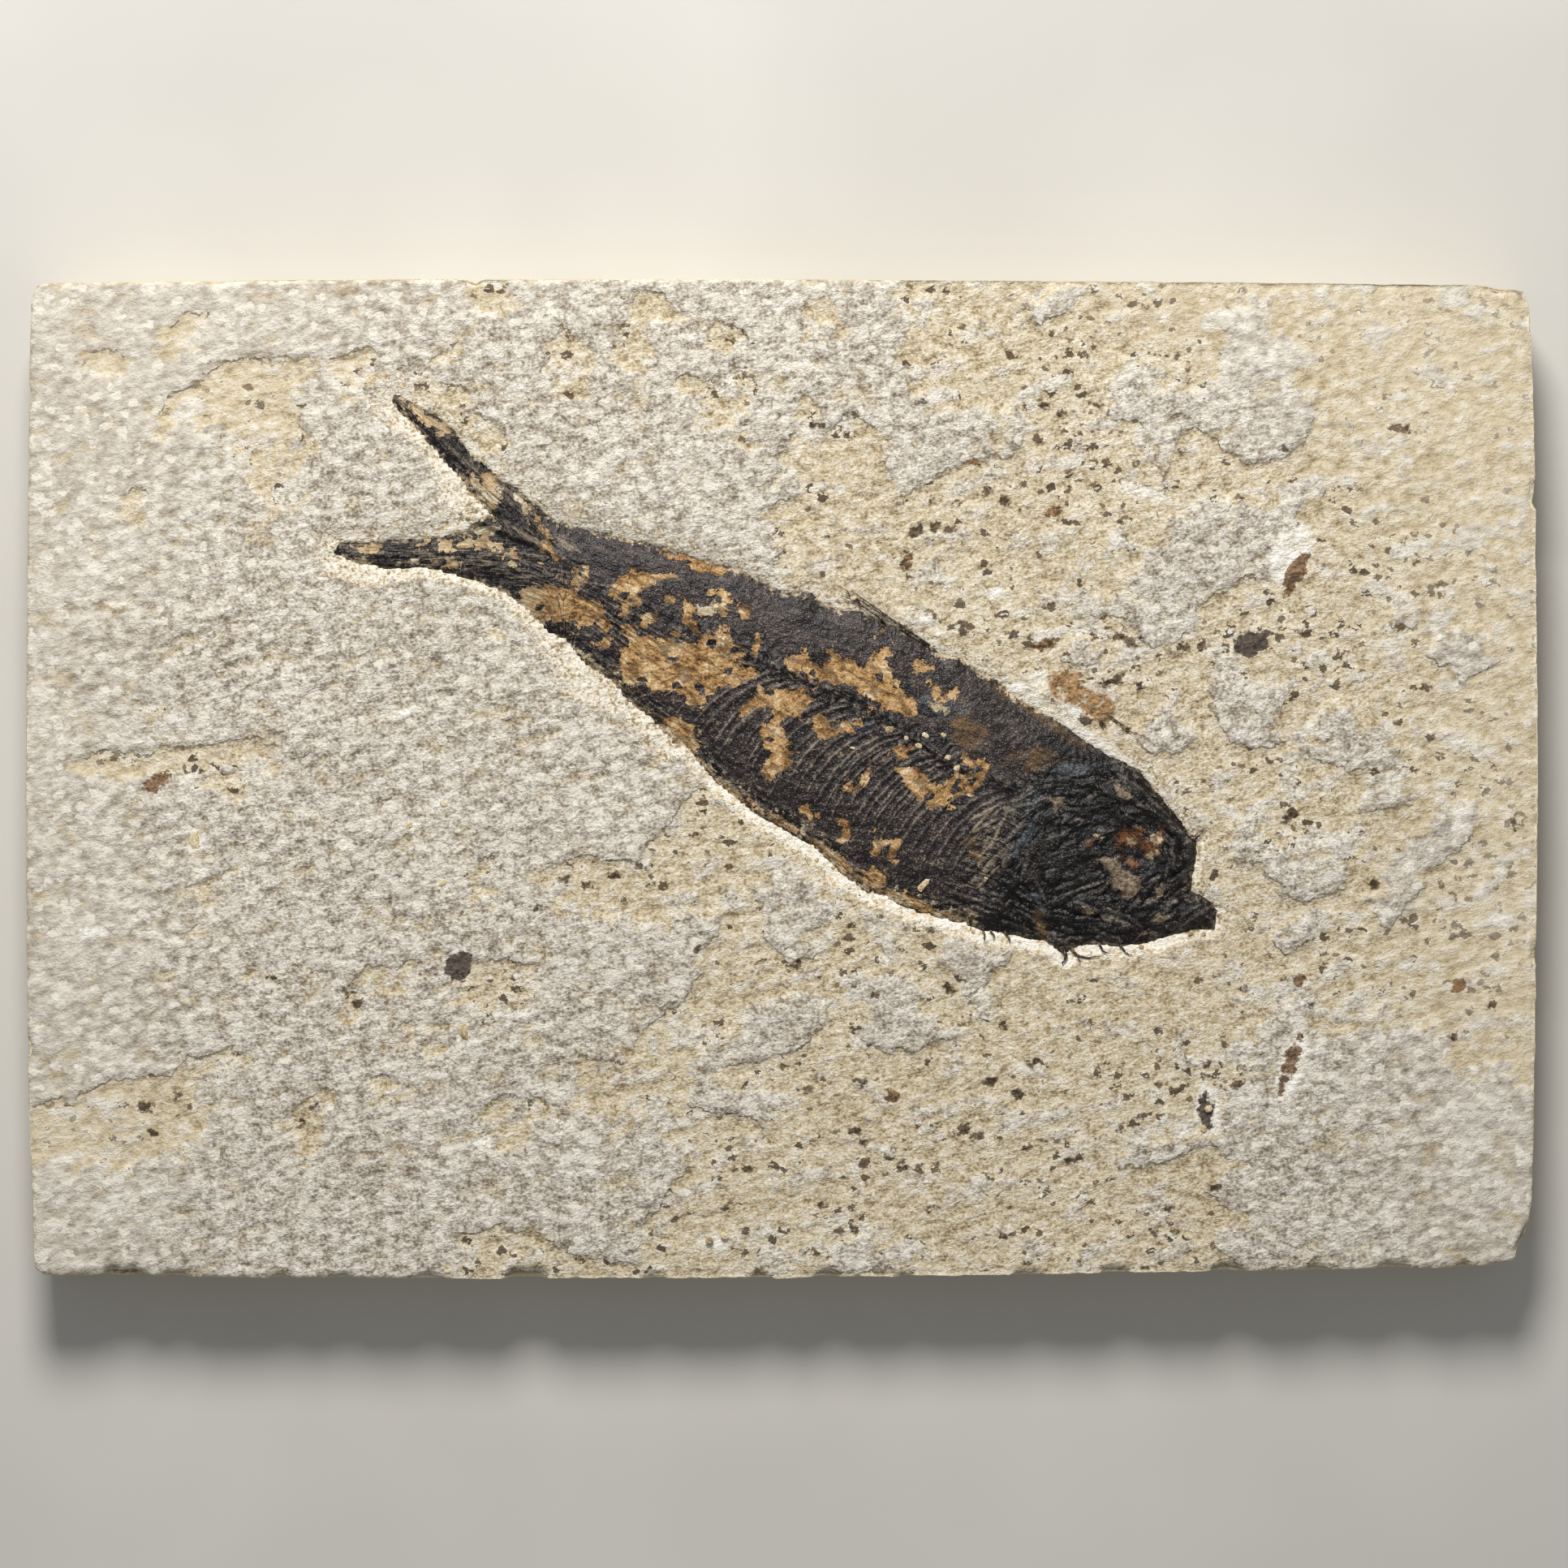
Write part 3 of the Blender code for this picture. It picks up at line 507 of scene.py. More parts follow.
@dataclass(frozen=True)
class FishShape:
    """The fish's outline, its own axes and the rise of its crust, all in millimetres."""

    origin: Pair = (0.0, 7.0)
    heading: float = math.radians(-27.0)
    rim_height: float = 8.9
    crown: float = 1.1
    crown_reach: float = 2.6
    raggedness: float = 0.22
    ragged_wave: float = 0.9
    outline: Points = paired(
        -393, 389, -389, 389, -376, 381, -345, 365, -332, 354, -325, 345, -310, 324, -302, 319, -290, 310,
        -284, 302, -274, 298, -260, 289, -250, 278, -239, 270, -230, 262, -212, 255, -170, 246, -130, 237,
        -105, 231, -75, 220, -46, 212, -30, 205, -15, 197, 0, 190, 25, 189, 34, 185, 42, 175, 65, 170,
        80, 169, 95, 162, 125, 148, 145, 138, 160, 126, 180, 124, 190, 112, 215, 101, 235, 82, 260, 68,
        280, 57, 305, 39, 330, 23, 360, 10, 365, 2, 385, -22, 403, -45, 410, -56, 422, -58, 417, -62,
        418, -75, 415, -90, 412, -113, 422, -117, 432, -124, 439, -132, 435, -154, 420, -152, 395, -157,
        380, -162, 360, -168, 340, -169, 310, -166, 290, -170, 285, -180, 275, -170, 265, -162, 250, -162,
        230, -156, 200, -153, 180, -145, 145, -137, 115, -125, 100, -116, 85, -115, 60, -95, 35, -70, 0, -50,
        -30, -33, -45, -20, -65, -5, -84, 15, -94, 30, -110, 35, -130, 59, -155, 78, -175, 100, -200, 117,
        -220, 140, -235, 147, -255, 167, -278, 186, -304, 197, -325, 203, -360, 212, -400, 211, -430, 217,
        -452, 226, -450, 239, -430, 238, -406, 241, -360, 243, -320, 250, -302, 266, -293, 264, -305, 280,
        -316, 286, -320, 298, -343, 322, -364, 346, -373, 359, -384, 368, -394, 380,
    )
    spine: Points = paired(
        -240, 219, -220, 210, -180, 190, -120, 165, -80, 145, -20, 120, 0, 110, 50, 90, 80, 80, 100, 63,
        120, 50, 140, 35, 160, 22, 180, 12, 220, -5, 250, -15,
    )
    upper_lobe: Points = paired(
        -200, 216, -255, 252, -282, 279, -309, 304, -331, 329, -356, 353, -376, 373, -393, 388,
    )
    lower_lobe: Points = paired(
        -200, 200, -250, 222, -300, 225, -340, 227, -380, 226, -415, 227, -445, 230, -453, 232,
    )
    orbit: Pair = (36.2, -6.4)
    gill_hub: Pair = (26.3, -2.2)

    def axes(self, x: Array, y: Array) -> tuple[Array, Array]:
        """Places along the fish's axis, towards its head, and across it, towards its back."""
        return turned(x - self.origin[0], y - self.origin[1], -self.heading)

    def on_plate(self, s: float, t: float) -> Pair:
        """Place on the plate of a place along and across the fish."""
        cos, sin = math.cos(self.heading), math.sin(self.heading)
        return self.origin[0] + s * cos - t * sin, self.origin[1] + s * sin + t * cos

    def gap(self, x: Array, y: Array) -> Array:
        """Signed distance to the ragged outline, negative inside.

        Args:
            x: places along X.
            y: places along Y.

        Returns:
            The distance at each place.
        """
        shift_x = self.raggedness * ROCK_NOISE.layered(x, y, self.ragged_wave, 3)
        shift_y = self.raggedness * ROCK_NOISE.layered(x + 57.0, y + 23.0, self.ragged_wave, 3)
        return signed_gap(self.outline, x + shift_x, y + shift_y, 12.0)

    def crust(self, gap: Array) -> Array:
        """Height of the bare crust over the plate's back, from the distance to the outline."""
        depth = np.maximum(-gap, 0.0)
        return self.rim_height + self.crown * (1.0 - np.exp(-depth / self.crown_reach))


# Short ledges of the grey upper lamina that cast a shadow line
UPPER_LEDGES = outlines(
    (-610, 403, -580, 408, -560, 420, -540, 424, -500, 426, -482, 420),
    (-460, 421, -450, 423, -440, 430, -420, 423, -404, 425),
    (-398, 410, -370, 420, -350, 423, -330, 432, -325, 440), (-610, 474, -590, 468, -575, 465),
    (-450, 477, -430, 472), (-700, 428, -680, 434, -670, 435), (-660, 81, -630, 75),
    (-605, 32, -570, 38, -540, 39, -515, 40), (-605, -113, -570, -97, -535, -80), (-610, -155, -590, -150),
    (-550, -200, -525, -190), (-615, -285, -600, -265), (-585, -280, -560, -271, -546, -267),
    (-650, -300, -630, -295), (-715, -323, -705, -318, -680, -305, -660, -305),
    (-447, -220, -440, -208, -410, -190, -395, -180, -370, -182), (-310, -181, -290, -183),
    (-270, -184, -250, -187), (-360, -247, -340, -243), (-483, -327, -460, -313, -440, -320),
    (-303, -340, -300, -329, -280, -317, -260, -320), (-317, -90, -298, -80, -285, -81),
    (-70, 414, -45, 417, -34, 413), (170, 318, 198, 320, 220, 324), (115, 280, 130, 288, 160, 308),
    (245, 350, 270, 348), (325, 360, 345, 361, 365, 356, 375, 345), (430, 330, 450, 320, 470, 314),
    (335, 200, 348, 210, 360, 202), (600, 258, 650, 257), (680, 259, 700, 260),
    (660, 117, 680, 105, 695, 100), (480, 173, 500, 171), (-210, -80, -180, -78), (-145, -82, -123, -65),
    (150, -190, 174, -202, 200, -205), (505, -120, 540, -122, 558, -116), (580, -118, 600, -125),
    (460, -79, 478, -92),
)
# Where the grey upper lamina has flaked off and the honey-coloured one shows
LOWER_EXPOSURES = outlines(
    (134, 600, 114, 496, 128, 468, 116, 434, 138, 401, 108, 390, 106, 342, 76, 366, 46, 356, 27, 389, 5, 344,
     -8, 312, 14, 292, -14, 264, 6, 236, -16, 212, 10, 150, -60, 40, -115, -50, -146, -81, -210, -80,
     -243, -94, -225, -129, -140, -142, -55, -129, -83, -186, -100, -227, -140, -250, -160, -286, -207, -282,
     -210, -316, -130, -340, -87, -386, -140, -450, -145, -600, 475, -600, 462, -494, 434, -466, 458, -438,
     424, -412, 452, -386, 432, -358, 466, -334, 456, -296, 474, -272, 486, -234, 516, -226, 542, -248,
     574, -254, 602, -226, 638, -248, 664, -238, 672, -280, 698, -302, 722, -280, 744, -312, 860, -300,
     860, 600),
    (-587, 403, -556, 421, -478, 421, -481, 385, -488, 369, -478, 348, -481, 291, -499, 280, -530, 286,
     -548, 312, -561, 343, -566, 364, -608, 353, -626, 361, -619, 382),
    (-704, 416, -694, 430, -668, 432, -656, 412, -672, 403, -700, 406),
    (-614, 450, -602, 472, -576, 466, -578, 442, -604, 430),
    (-449, 409, -444, 426, -420, 431, -405, 426, -404, 406, -426, 392, -444, 394),
    (-394, 404, -375, 416, -355, 418, -343, 400, -315, 392, -310, 370, -284, 365, -280, 340, -310, 325,
     -370, 380),
    (-316, 600, -320, 490, -316, 472, -288, 466, -270, 474, -274, 490, -290, 600),
    (-243, 385, -244, 410, -229, 439, -221, 458, -204, 444, -202, 416, -223, 394),
    (-173, 430, -156, 460, -148, 496, -122, 490, -110, 470, -130, 454, -134, 426, -145, 411, -166, 422),
    (-74, 444, -60, 458, -30, 452, -25, 434, -56, 435),
    (-113, 396, -96, 408, -62, 400, -46, 416, -30, 402, -36, 376, -46, 358, -80, 368, -98, 388),
    (-712, 15, -676, 30, -608, 33, -530, 38, -504, 30, -520, 4, -580, -5, -640, 6, -690, 0),
    (-860, -330, -754, -328, -712, -323, -686, -307, -629, -294, -613, -299, -600, -271, -572, -279,
     -556, -271, -535, -281, -572, -292, -579, -349, -619, -370, -629, -359, -655, -388, -702, -385,
     -860, -382),
    (-447, -224, -415, -193, -374, -182, -366, -193, -379, -208, -415, -214, -424, -242, -448, -250,
     -454, -242),
    (-340, -208, -316, -188, -290, -180, -249, -188, -246, -203, -257, -240, -280, -240, -322, -224,
     -337, -229),
    (-314, -81, -288, -81, -290, -104, -306, -120, -309, -99),
    (-392, -254, -384, -246, -370, -250, -378, -262), (-356, -268, -348, -248, -334, -246, -336, -274),
    (-493, -346, -480, -320, -456, -313, -442, -318, -464, -334, -466, -370, -480, -370),
    (-305, -345, -296, -326, -270, -319, -233, -322, -260, -344, -274, -370, -302, -369),
    (-412, -308, -406, -294, -392, -298, -398, -312),
    (-339, -600, -330, -462, -300, -456, -287, -452, -250, -454, -225, -474, -182, -486, -140, -490,
     -130, -600),
    (20, 450, 24, 600, 50, 600, 50, 460), (-658, 280, -650, 294, -638, 288, -642, 276),
    (-298, 150, -290, 159, -279, 154, -286, 145),
)
# Islands of the upper lamina that are left inside those
UPPER_ISLANDS = outlines(
    (333, 364, 333, 421, 365, 424, 385, 395, 417, 385, 440, 398, 446, 420, 436, 446, 443, 463, 469, 473,
     510, 463, 516, 437, 526, 405, 534, 364, 526, 338, 500, 324, 469, 317, 422, 348, 406, 353, 396, 333,
     385, 301, 370, 322, 365, 353),
    (312, 166, 333, 197, 359, 213, 365, 239, 391, 265, 443, 275, 526, 284, 513, 249, 500, 208, 469, 202,
     443, 187, 417, 176, 411, 155, 396, 124, 375, 135, 339, 161),
    (424, 95, 448, 102, 474, 98, 504, 92, 500, 65, 506, 34, 480, 28, 450, 40, 438, 66),
    (522, 30, 536, 58, 556, 78, 574, 80, 588, 60, 612, 56, 624, 34, 616, 10, 578, 6, 546, 16),
    (648, 124, 670, 154, 700, 154, 724, 134, 704, 106, 682, 100, 666, 116),
    (356, 44, 375, 70, 402, 74, 416, 46, 400, 26, 370, 28),
    (608, 166, 620, 174, 634, 168, 632, 152, 616, 152),
    (230, 456, 252, 480, 282, 494, 300, 490, 284, 470, 254, 462),
    (90, 416, 150, 382, 190, 372, 236, 370, 244, 350, 226, 324, 176, 316, 140, 294, 112, 275, 104, 306,
     90, 360),
    (274, 126, 296, 146, 324, 140, 320, 118, 294, 114),
    (450, -45, 465, -36, 482, -42, 486, -60, 484, -82, 465, -78, 446, -82, 453, -64),
    (488, -85, 500, -66, 520, -76, 550, -60, 570, -66, 566, -90, 572, -110, 544, -120, 514, -122, 494, -104),
    (580, -120, 604, -108, 626, -94, 640, -50, 665, -32, 700, -22, 694, -60, 666, -82, 646, -92, 648, -116,
     624, -134, 612, -154, 596, -136),
    (578, -28, 596, -8, 626, -6, 636, -22, 606, -32),
    (490, -155, 510, -138, 538, -138, 534, -160, 506, -174),
    (82, -260, 80, -200, 110, -184, 176, -260, 110, -278),
    (-93, -275, -30, -240, 25, -203, 48, -240, 13, -276, -56, -293, -12, -320, -16, -357, -40, -336,
     -92, -330),
    (-30, -105, 5, -94, 34, -102, 46, -126, 36, -154, 44, -176, 10, -182, -16, -160, -20, -132),
    (154, -185, 170, -160, 234, -178, 185, -213), (44, -494, 52, -464, 84, -454, 104, -466, 120, -496),
    (335, -376, 360, -360, 405, -362, 440, -354, 444, -372, 380, -382, 340, -390),
)


class Mark(Enum):
    """A coloured mark on the limestone."""

    COAL = "black plant or coprolite speck"
    BROWN = "iron-brown flake"
    SPECK = "dark brown speck"
    CHALK = "cream chalk clot"


# Marks of each kind: middle, length and width, in tenths of a millimetre, and degrees turned from +X
FACE_MARKS: dict[Mark, tuple[tuple[int, ...], ...]] = {
    Mark.COAL: (
        (471, 136, 37, 24, 8), (-325, -188, 31, 27, 60), (427, -336, 37, 16, 98), (48, 244, 12, 4, 20),
        (360, 95, 10, 7, 0), (-329, -189, 16, 20, 90),
    ),
    Mark.BROWN: (
        (-631, -4, 32, 14, 15), (517, 208, 46, 19, 62), (511, -286, 52, 13, 70), (683, -208, 21, 16, 20),
        (520, -202, 16, 11, 0), (110, -318, 21, 12, 25), (126, 224, 23, 10, 75), (272, 268, 19, 10, 0),
        (263, 136, 23, 11, 5), (189, 318, 16, 6, 10), (720, 491, 18, 4, 0),
    ),
    Mark.SPECK: (
        (533, -225, 12, 8, 0), (715, -228, 10, 8, 0), (457, -308, 13, 9, 30), (439, -410, 13, 8, 0),
        (390, -432, 12, 8, 0), (72, -353, 13, 9, 0), (80, -305, 15, 8, 0), (209, -304, 15, 9, 10),
        (-245, -128, 11, 7, 0), (-87, -172, 11, 8, 0), (11, -188, 14, 7, 20), (70, -147, 12, 7, 0),
        (100, -137, 12, 7, 0), (-32, -392, 13, 9, 0), (-52, -430, 11, 7, 0), (42, -430, 11, 7, 0),
        (57, -455, 12, 7, 0), (120, -388, 13, 8, 0), (157, -387, 12, 8, 0), (150, -433, 14, 8, 0),
        (136, 250, 15, 11, 30), (153, 253, 13, 10, 0), (165, 250, 12, 9, 0), (140, 378, 11, 7, 0),
        (207, 287, 13, 8, 0), (223, 282, 12, 8, 0), (262, 375, 12, 8, 0), (285, 370, 11, 7, 0),
        (313, 378, 12, 7, 0), (270, 173, 12, 8, 0), (358, 140, 11, 8, 0), (405, 132, 13, 9, 0),
        (425, 134, 10, 7, 0), (35, 356, 11, 7, 0), (28, 273, 10, 7, 0), (-50, 394, 10, 6, 0),
        (615, 353, 12, 7, 10), (628, 351, 10, 7, 0), (505, 330, 11, 8, 0), (26, -313, 14, 9, 0),
        (182, -352, 18, 10, 40), (196, -360, 13, 9, 0), (82, -366, 12, 8, 0), (237, -318, 12, 8, 0),
        (221, -461, 12, 8, 0), (378, -461, 12, 7, -50), (406, -285, 12, 8, 0), (428, -287, 11, 8, 0),
        (253, -286, 11, 7, 0), (221, -247, 11, 8, 0), (292, -383, 12, 8, 0), (247, -370, 10, 8, 0),
        (167, -211, 13, 10, 0), (148, -151, 13, 7, 0), (94, -219, 10, 7, 0), (674, -260, 10, 7, 0),
        (737, -44, 16, 7, 80), (594, -107, 11, 10, 0), (510, -39, 15, 9, 30), (350, 139, 16, 10, -10),
        (361, 94, 11, 8, 0), (334, 100, 26, 8, 12), (355, 121, 9, 6, 0), (356, 108, 8, 6, 0),
        (306, 61, 17, 12, 0), (324, 56, 12, 9, 0), (344, 52, 18, 5, -30), (-640, -330, 15, 9, 0),
        (-608, -316, 13, 9, 0), (-598, -330, 11, 8, 0), (-634, -356, 11, 8, 0), (-484, -346, 14, 8, 60),
        (-470, -330, 12, 7, 30), (-426, -226, 16, 8, 30), (-442, -212, 12, 7, 60), (-218, -102, 14, 8, 20),
        (-194, -108, 14, 8, 0), (-170, -98, 13, 8, 0), (-146, -88, 14, 8, 10),
    ),
    Mark.CHALK: (
        (370, 287, 50, 12, -15), (14, 414, 40, 11, 0), (679, -42, 34, 8, 85), (215, 186, 16, 14, 0),
        (-700, -155, 32, 9, 8), (-665, 178, 26, 9, 0), (-70, -466, 28, 16, 10), (-590, -65, 26, 16, 80),
        (-585, -95, 18, 11, 20), (-375, -47, 17, 11, 0), (-340, -25, 16, 10, 30), (-340, -105, 18, 12, 0),
        (-385, 66, 40, 12, 5), (-480, -33, 18, 11, 0), (-440, -68, 16, 10, 0), (-300, -365, 22, 9, 0),
        (-320, -255, 20, 10, 95), (513, 226, 64, 38, 62), (513, -288, 70, 26, 70), (428, -334, 50, 26, 97),
        (316, 36, 84, 15, -34), (242, 89, 54, 11, -36), (260, 99, 22, 15, 110), (296, 66, 26, 13, -40),
        (150, 156, 36, 7, -38),
    ),
}
# The brown stain by the fish's nape
STAIN = paired(266, 101, 278, 110, 298, 108, 304, 94, 314, 88, 328, 85, 336, 70, 326, 55, 312, 58, 302, 66,
               289, 70, 280, 80, 269, 84)
# Chips along each arris: side, place along it, half width
ARRIS_CHIPS: tuple[tuple[str, float, float], ...] = (
    ("bottom", -66.2, 2.4), ("bottom", -61.0, 1.7), ("bottom", -50.4, 1.3), ("bottom", -44.6, 1.5),
    ("bottom", -35.6, 1.6), ("bottom", -25.8, 2.3), ("bottom", -13.0, 1.2), ("bottom", -2.2, 1.4),
    ("bottom", 4.6, 1.5), ("bottom", 12.4, 1.1), ("bottom", 24.3, 1.3), ("bottom", 33.6, 1.6),
    ("bottom", 44.9, 1.9), ("bottom", 53.9, 1.5), ("bottom", 61.4, 1.8), ("bottom", 68.6, 1.3),
    ("top", -57.0, 1.0), ("top", -31.1, 0.9), ("top", 9.5, 0.8), ("top", 72.2, 1.1),
    ("right", 28.6, 1.5), ("right", -17.5, 1.1), ("right", -46.0, 1.6),
    ("left", 38.4, 1.0), ("left", -27.0, 1.2),
)


@dataclass(frozen=True)
class LimestoneSlab:
    """The plate of laminated limestone, with sizes in millimetres."""

    columns: int = 328
    rows: int = 217
    half_length: float = 76.0
    half_width: float = 50.4
    # Depths of the rows of points down the sides, closer together by the worn arris
    side_rows: tuple[float, ...] = (
        0.25, 0.55, 0.9, 1.3, 1.75, 2.2, 2.7, 3.2, 3.7, 4.2, 4.7, 5.2, 5.7, 6.2, 6.7, 7.2, 7.7, 8.2, 8.7,
        9.15, 9.5,
    )
    # Each side's course: a place along it, and X or Y there
    left: Points = (
        (-50.4, -75.1), (-49.0, -75.25), (-30.0, -75.9), (0.0, -76.1), (30.0, -75.85), (48.8, -75.6),
        (50.4, -75.0),
    )
    right: Points = (
        (-50.4, 73.6), (-49.0, 74.1), (-47.8, 75.0), (-44.1, 75.45), (-30.0, 75.8), (0.0, 76.1),
        (27.6, 75.85), (28.6, 75.6), (29.6, 75.85), (40.0, 75.6), (48.8, 75.2), (50.4, 74.6),
    )
    bottom: Points = (
        (-76.0, -49.3), (-75.0, -49.9), (-60.0, -50.15), (-30.0, -50.32), (0.0, -50.2), (22.0, -49.95),
        (50.0, -49.5), (71.6, -49.15), (73.7, -48.95), (76.0, -48.5),
    )
    top: Points = (
        (-76.0, 49.6), (-74.8, 49.95), (-50.0, 50.2), (-31.9, 50.3), (-31.1, 50.0), (-30.3, 50.3),
        (0.0, 50.3), (40.0, 50.05), (71.0, 49.75), (73.0, 49.5), (76.0, 49.1),
    )
    # How far the flaked lamina's outline wanders, over how long a wave
    wander: float = 1.3
    wander_wave: float = 4.4
    # Reach over which a ledge's slope is measured
    slope_reach: float = 0.3
    flake_step: float = 0.26
    hollow_depth: float = 0.42
    hollow_width: float = 1.45
    # Where the scraped margin widens: middle, reach along X and Y, and the added width
    wide_margins: tuple[tuple[float, ...], ...] = (
        (-20.5, 9.5, 5.0, 5.5, 2.8), (-13.0, 3.6, 3.0, 2.6, 1.3), (-31.8, 27.4, 4.4, 3.2, 2.3),
        (-40.0, 37.0, 4.0, 4.0, 0.9), (-43.0, 21.8, 5.0, 3.5, 1.5), (-26.0, 30.5, 4.0, 3.0, 0.7),
        (6.0, 18.5, 5.0, 2.5, 0.5), (27.0, 8.0, 5.0, 4.0, 0.6),
    )
    bed_depth: float = 1.75
    # Two softer seams in the sides: their heights, their width and how far they are worn back
    seams: Pair = (3.1, 6.4)
    seam_width: float = 0.35
    seam_wear: float = 0.22
    foot_wear: float = 0.25

    @staticmethod
    def edge(points: Points, places: Array) -> Array:
        """Read a side's course at the given places along it."""
        table = np.array(points)
        return np.interp(places, table[:, 0], table[:, 1])

    def face_plan(self) -> tuple[Array, Array]:
        """Set out the face's grid inside the four sides.

        Returns:
            Tables of X and Y, with X along the first axis.
        """
        across = np.linspace(0.0, 1.0, self.columns + 1)
        up = np.linspace(0.0, 1.0, self.rows + 1)
        rough_y = np.linspace(-self.half_width, self.half_width, self.rows + 1)
        rough_x = np.linspace(-self.half_length, self.half_length, self.columns + 1)
        rough = ROCK_NOISE.layered
        left = self.edge(self.left, rough_y) + 0.12 * rough(rough_y, rough_y * 0 + 3, 3.4, 3)
        right = self.edge(self.right, rough_y) - 0.12 * rough(rough_y, rough_y * 0 + 9, 3.4, 3)
        bottom = self.edge(self.bottom, rough_x) + 0.16 * rough(rough_x, rough_x * 0 + 15, 2.8, 4)
        top = self.edge(self.top, rough_x) - 0.08 * rough(rough_x, rough_x * 0 + 21, 3.0, 3)
        x = left[None, :] + (right - left)[None, :] * across[:, None]
        y = bottom[:, None] + (top - bottom)[:, None] * up[None, :]
        return x, y

    def lamina_gap(self, x: Array, y: Array) -> Array:
        """Signed distance to where the grey upper lamina has flaked off; negative where it is gone.

        Args:
            x: places along X.
            y: places along Y.

        Returns:
            The distance at each place.
        """
        wander_x = self.wander * ROCK_NOISE.layered(x + 5.0, y, self.wander_wave, 5, 0.68)
        wander_y = self.wander * ROCK_NOISE.layered(x, y + 71.0, self.wander_wave, 5, 0.68)
        u, v = x + wander_x, y + wander_y
        gap = np.full(x.shape, 6.0)
        for outline in LOWER_EXPOSURES:
            gap = np.minimum(gap, signed_gap(outline, u, v))
        for outline in UPPER_ISLANDS:
            gap = np.maximum(gap, -signed_gap(outline, u, v))
        for number, line in enumerate(UPPER_LEDGES):
            hang = 0.9 + 0.5 * math.sin(2.4 * number)
            fine_x, fine_y = x + 0.25 * wander_x, y + 0.25 * wander_y
            gap = np.minimum(gap, signed_gap(crescent(line, hang), fine_x, fine_y))
        return gap

    def marks(self, kind: Mark, x: Array, y: Array) -> Array:
        """Signed distance to the nearest mark of one kind, negative inside it.

        Args:
            kind: the kind of mark.
            x: places along X.
            y: places along Y.

        Returns:
            The distance at each place.
        """
        u = x + 0.25 * ROCK_NOISE.layered(x, y + 40.0, 1.3, 3)
        v = y + 0.25 * ROCK_NOISE.layered(x + 90.0, y, 1.3, 3)
        gap = np.full(x.shape, 3.0)
        for middle_x, middle_y, length, width, turn in FACE_MARKS[kind]:
            middle, size = (middle_x / TENTHS, middle_y / TENTHS), (length / TENTHS, width / TENTHS)
            gap = np.minimum(gap, blob(u, v, middle, size, turn))
        return gap

    def scraped_share(self, x: Array, y: Array, fish_gap: Array) -> Array:
        """Distance to the fish as a share of the scraped margin's own width there.

        The margin is wide and crumbly under the hind belly and between the tail's lobes.

        Args:
            x: places along X.
            y: places along Y.
            fish_gap: signed distance to the fish.

        Returns:
            The share at each place.
        """
        width = self.hollow_width * mix(0.58, 0.85, self.white_and_lit_share(x, y))
        width = width * (1.0 + 0.35 * ROCK_NOISE.layered(x, y, 3.0, 4, 0.65))
        for mx, my, reach_x, reach_y, extra in self.wide_margins:
            away = ((x - mx) / reach_x) ** 2 + ((y - my) / reach_y) ** 2
            width = width + extra * np.exp(-away)
        return fish_gap / width

    def white_and_lit_share(self, x: Array, y: Array) -> Array:
        """How white the scraped margin is: 1 below the belly and the head, where the margin's wall faces the
        lamp, 0 along the back, where its darker colour is partly painted shade, and along the tail.
        """
        return soft_step(7.0, 2.0, y + 0.51 * x) * soft_step(-12.0, -4.0, x)

    def face_rise(self, x: Array, y: Array, lamina: Array, fish_gap: Array) -> Array:
        """Height of the face over the plate's back.

        Args:
            x: places along X.
            y: places along Y.
            lamina: signed distance to the flaked areas.
            fish_gap: signed distance to the fish.

        Returns:
            The height at each place.
        """
        rise = 0.10 * ROCK_NOISE.layered(x, y, 14.0, 3) + 0.07 * ROCK_NOISE.layered(x * 0.55, y, 2.2, 3)
        grains, _ = ROCK_NOISE.grains(x * 0.7, y, 1.15)
        rise = rise + 0.07 * (0.5 - grains) * soft_step(-0.5, 0.5, lamina)
        rise = rise - self.flake_step * (1.0 - soft_step(-0.25, 0.25, lamina))
        scraped = soft_step(1.0, 0.2, self.scraped_share(x, y, fish_gap))
        tool_marks = 0.12 * ROCK_NOISE.layered(x, y, 1.6, 3, 0.7)
        rise = rise - scraped * (self.hollow_depth + tool_marks + 0.6 * rise)
        under = soft_step(-0.15, -0.75, fish_gap)
        return mix(FACE_HEIGHT + rise, FACE_HEIGHT - self.bed_depth, under)

    def arris(self, side: str, places: Array) -> tuple[Array, Array]:
        """How far the worn arris is eaten away along one side.

        Args:
            side: the side's name.
            places: places along the side.

        Returns:
            The bite into the face and the drop down the side.
        """
        row = {"bottom": 2.0, "right": 31.0, "top": 62.0, "left": 93.0}[side]
        wear = np.maximum(ROCK_NOISE.layered(places, places * 0 + row, 2.2, 4, 0.6), 0.0)
        bite = 0.14 + 0.5 * wear * (1.5 if side == "bottom" else 0.8)
        drop = 0.16 + 0.9 * wear * (1.4 if side == "bottom" else 0.7)
        for chip_side, place, half in ARRIS_CHIPS:
            if chip_side != side:
                continue
            reach = np.clip(1.0 - ((places - place) / half) ** 2, 0.0, 1.0)
            shell = np.sqrt(reach) * (1.0 + 0.25 * ROCK_NOISE.hills(places, places * 0 + row + 7, 1.1))
            bite = np.maximum(bite, 0.55 * half * shell)
            drop = np.maximum(drop, 1.0 * half * shell)
        return bite, drop

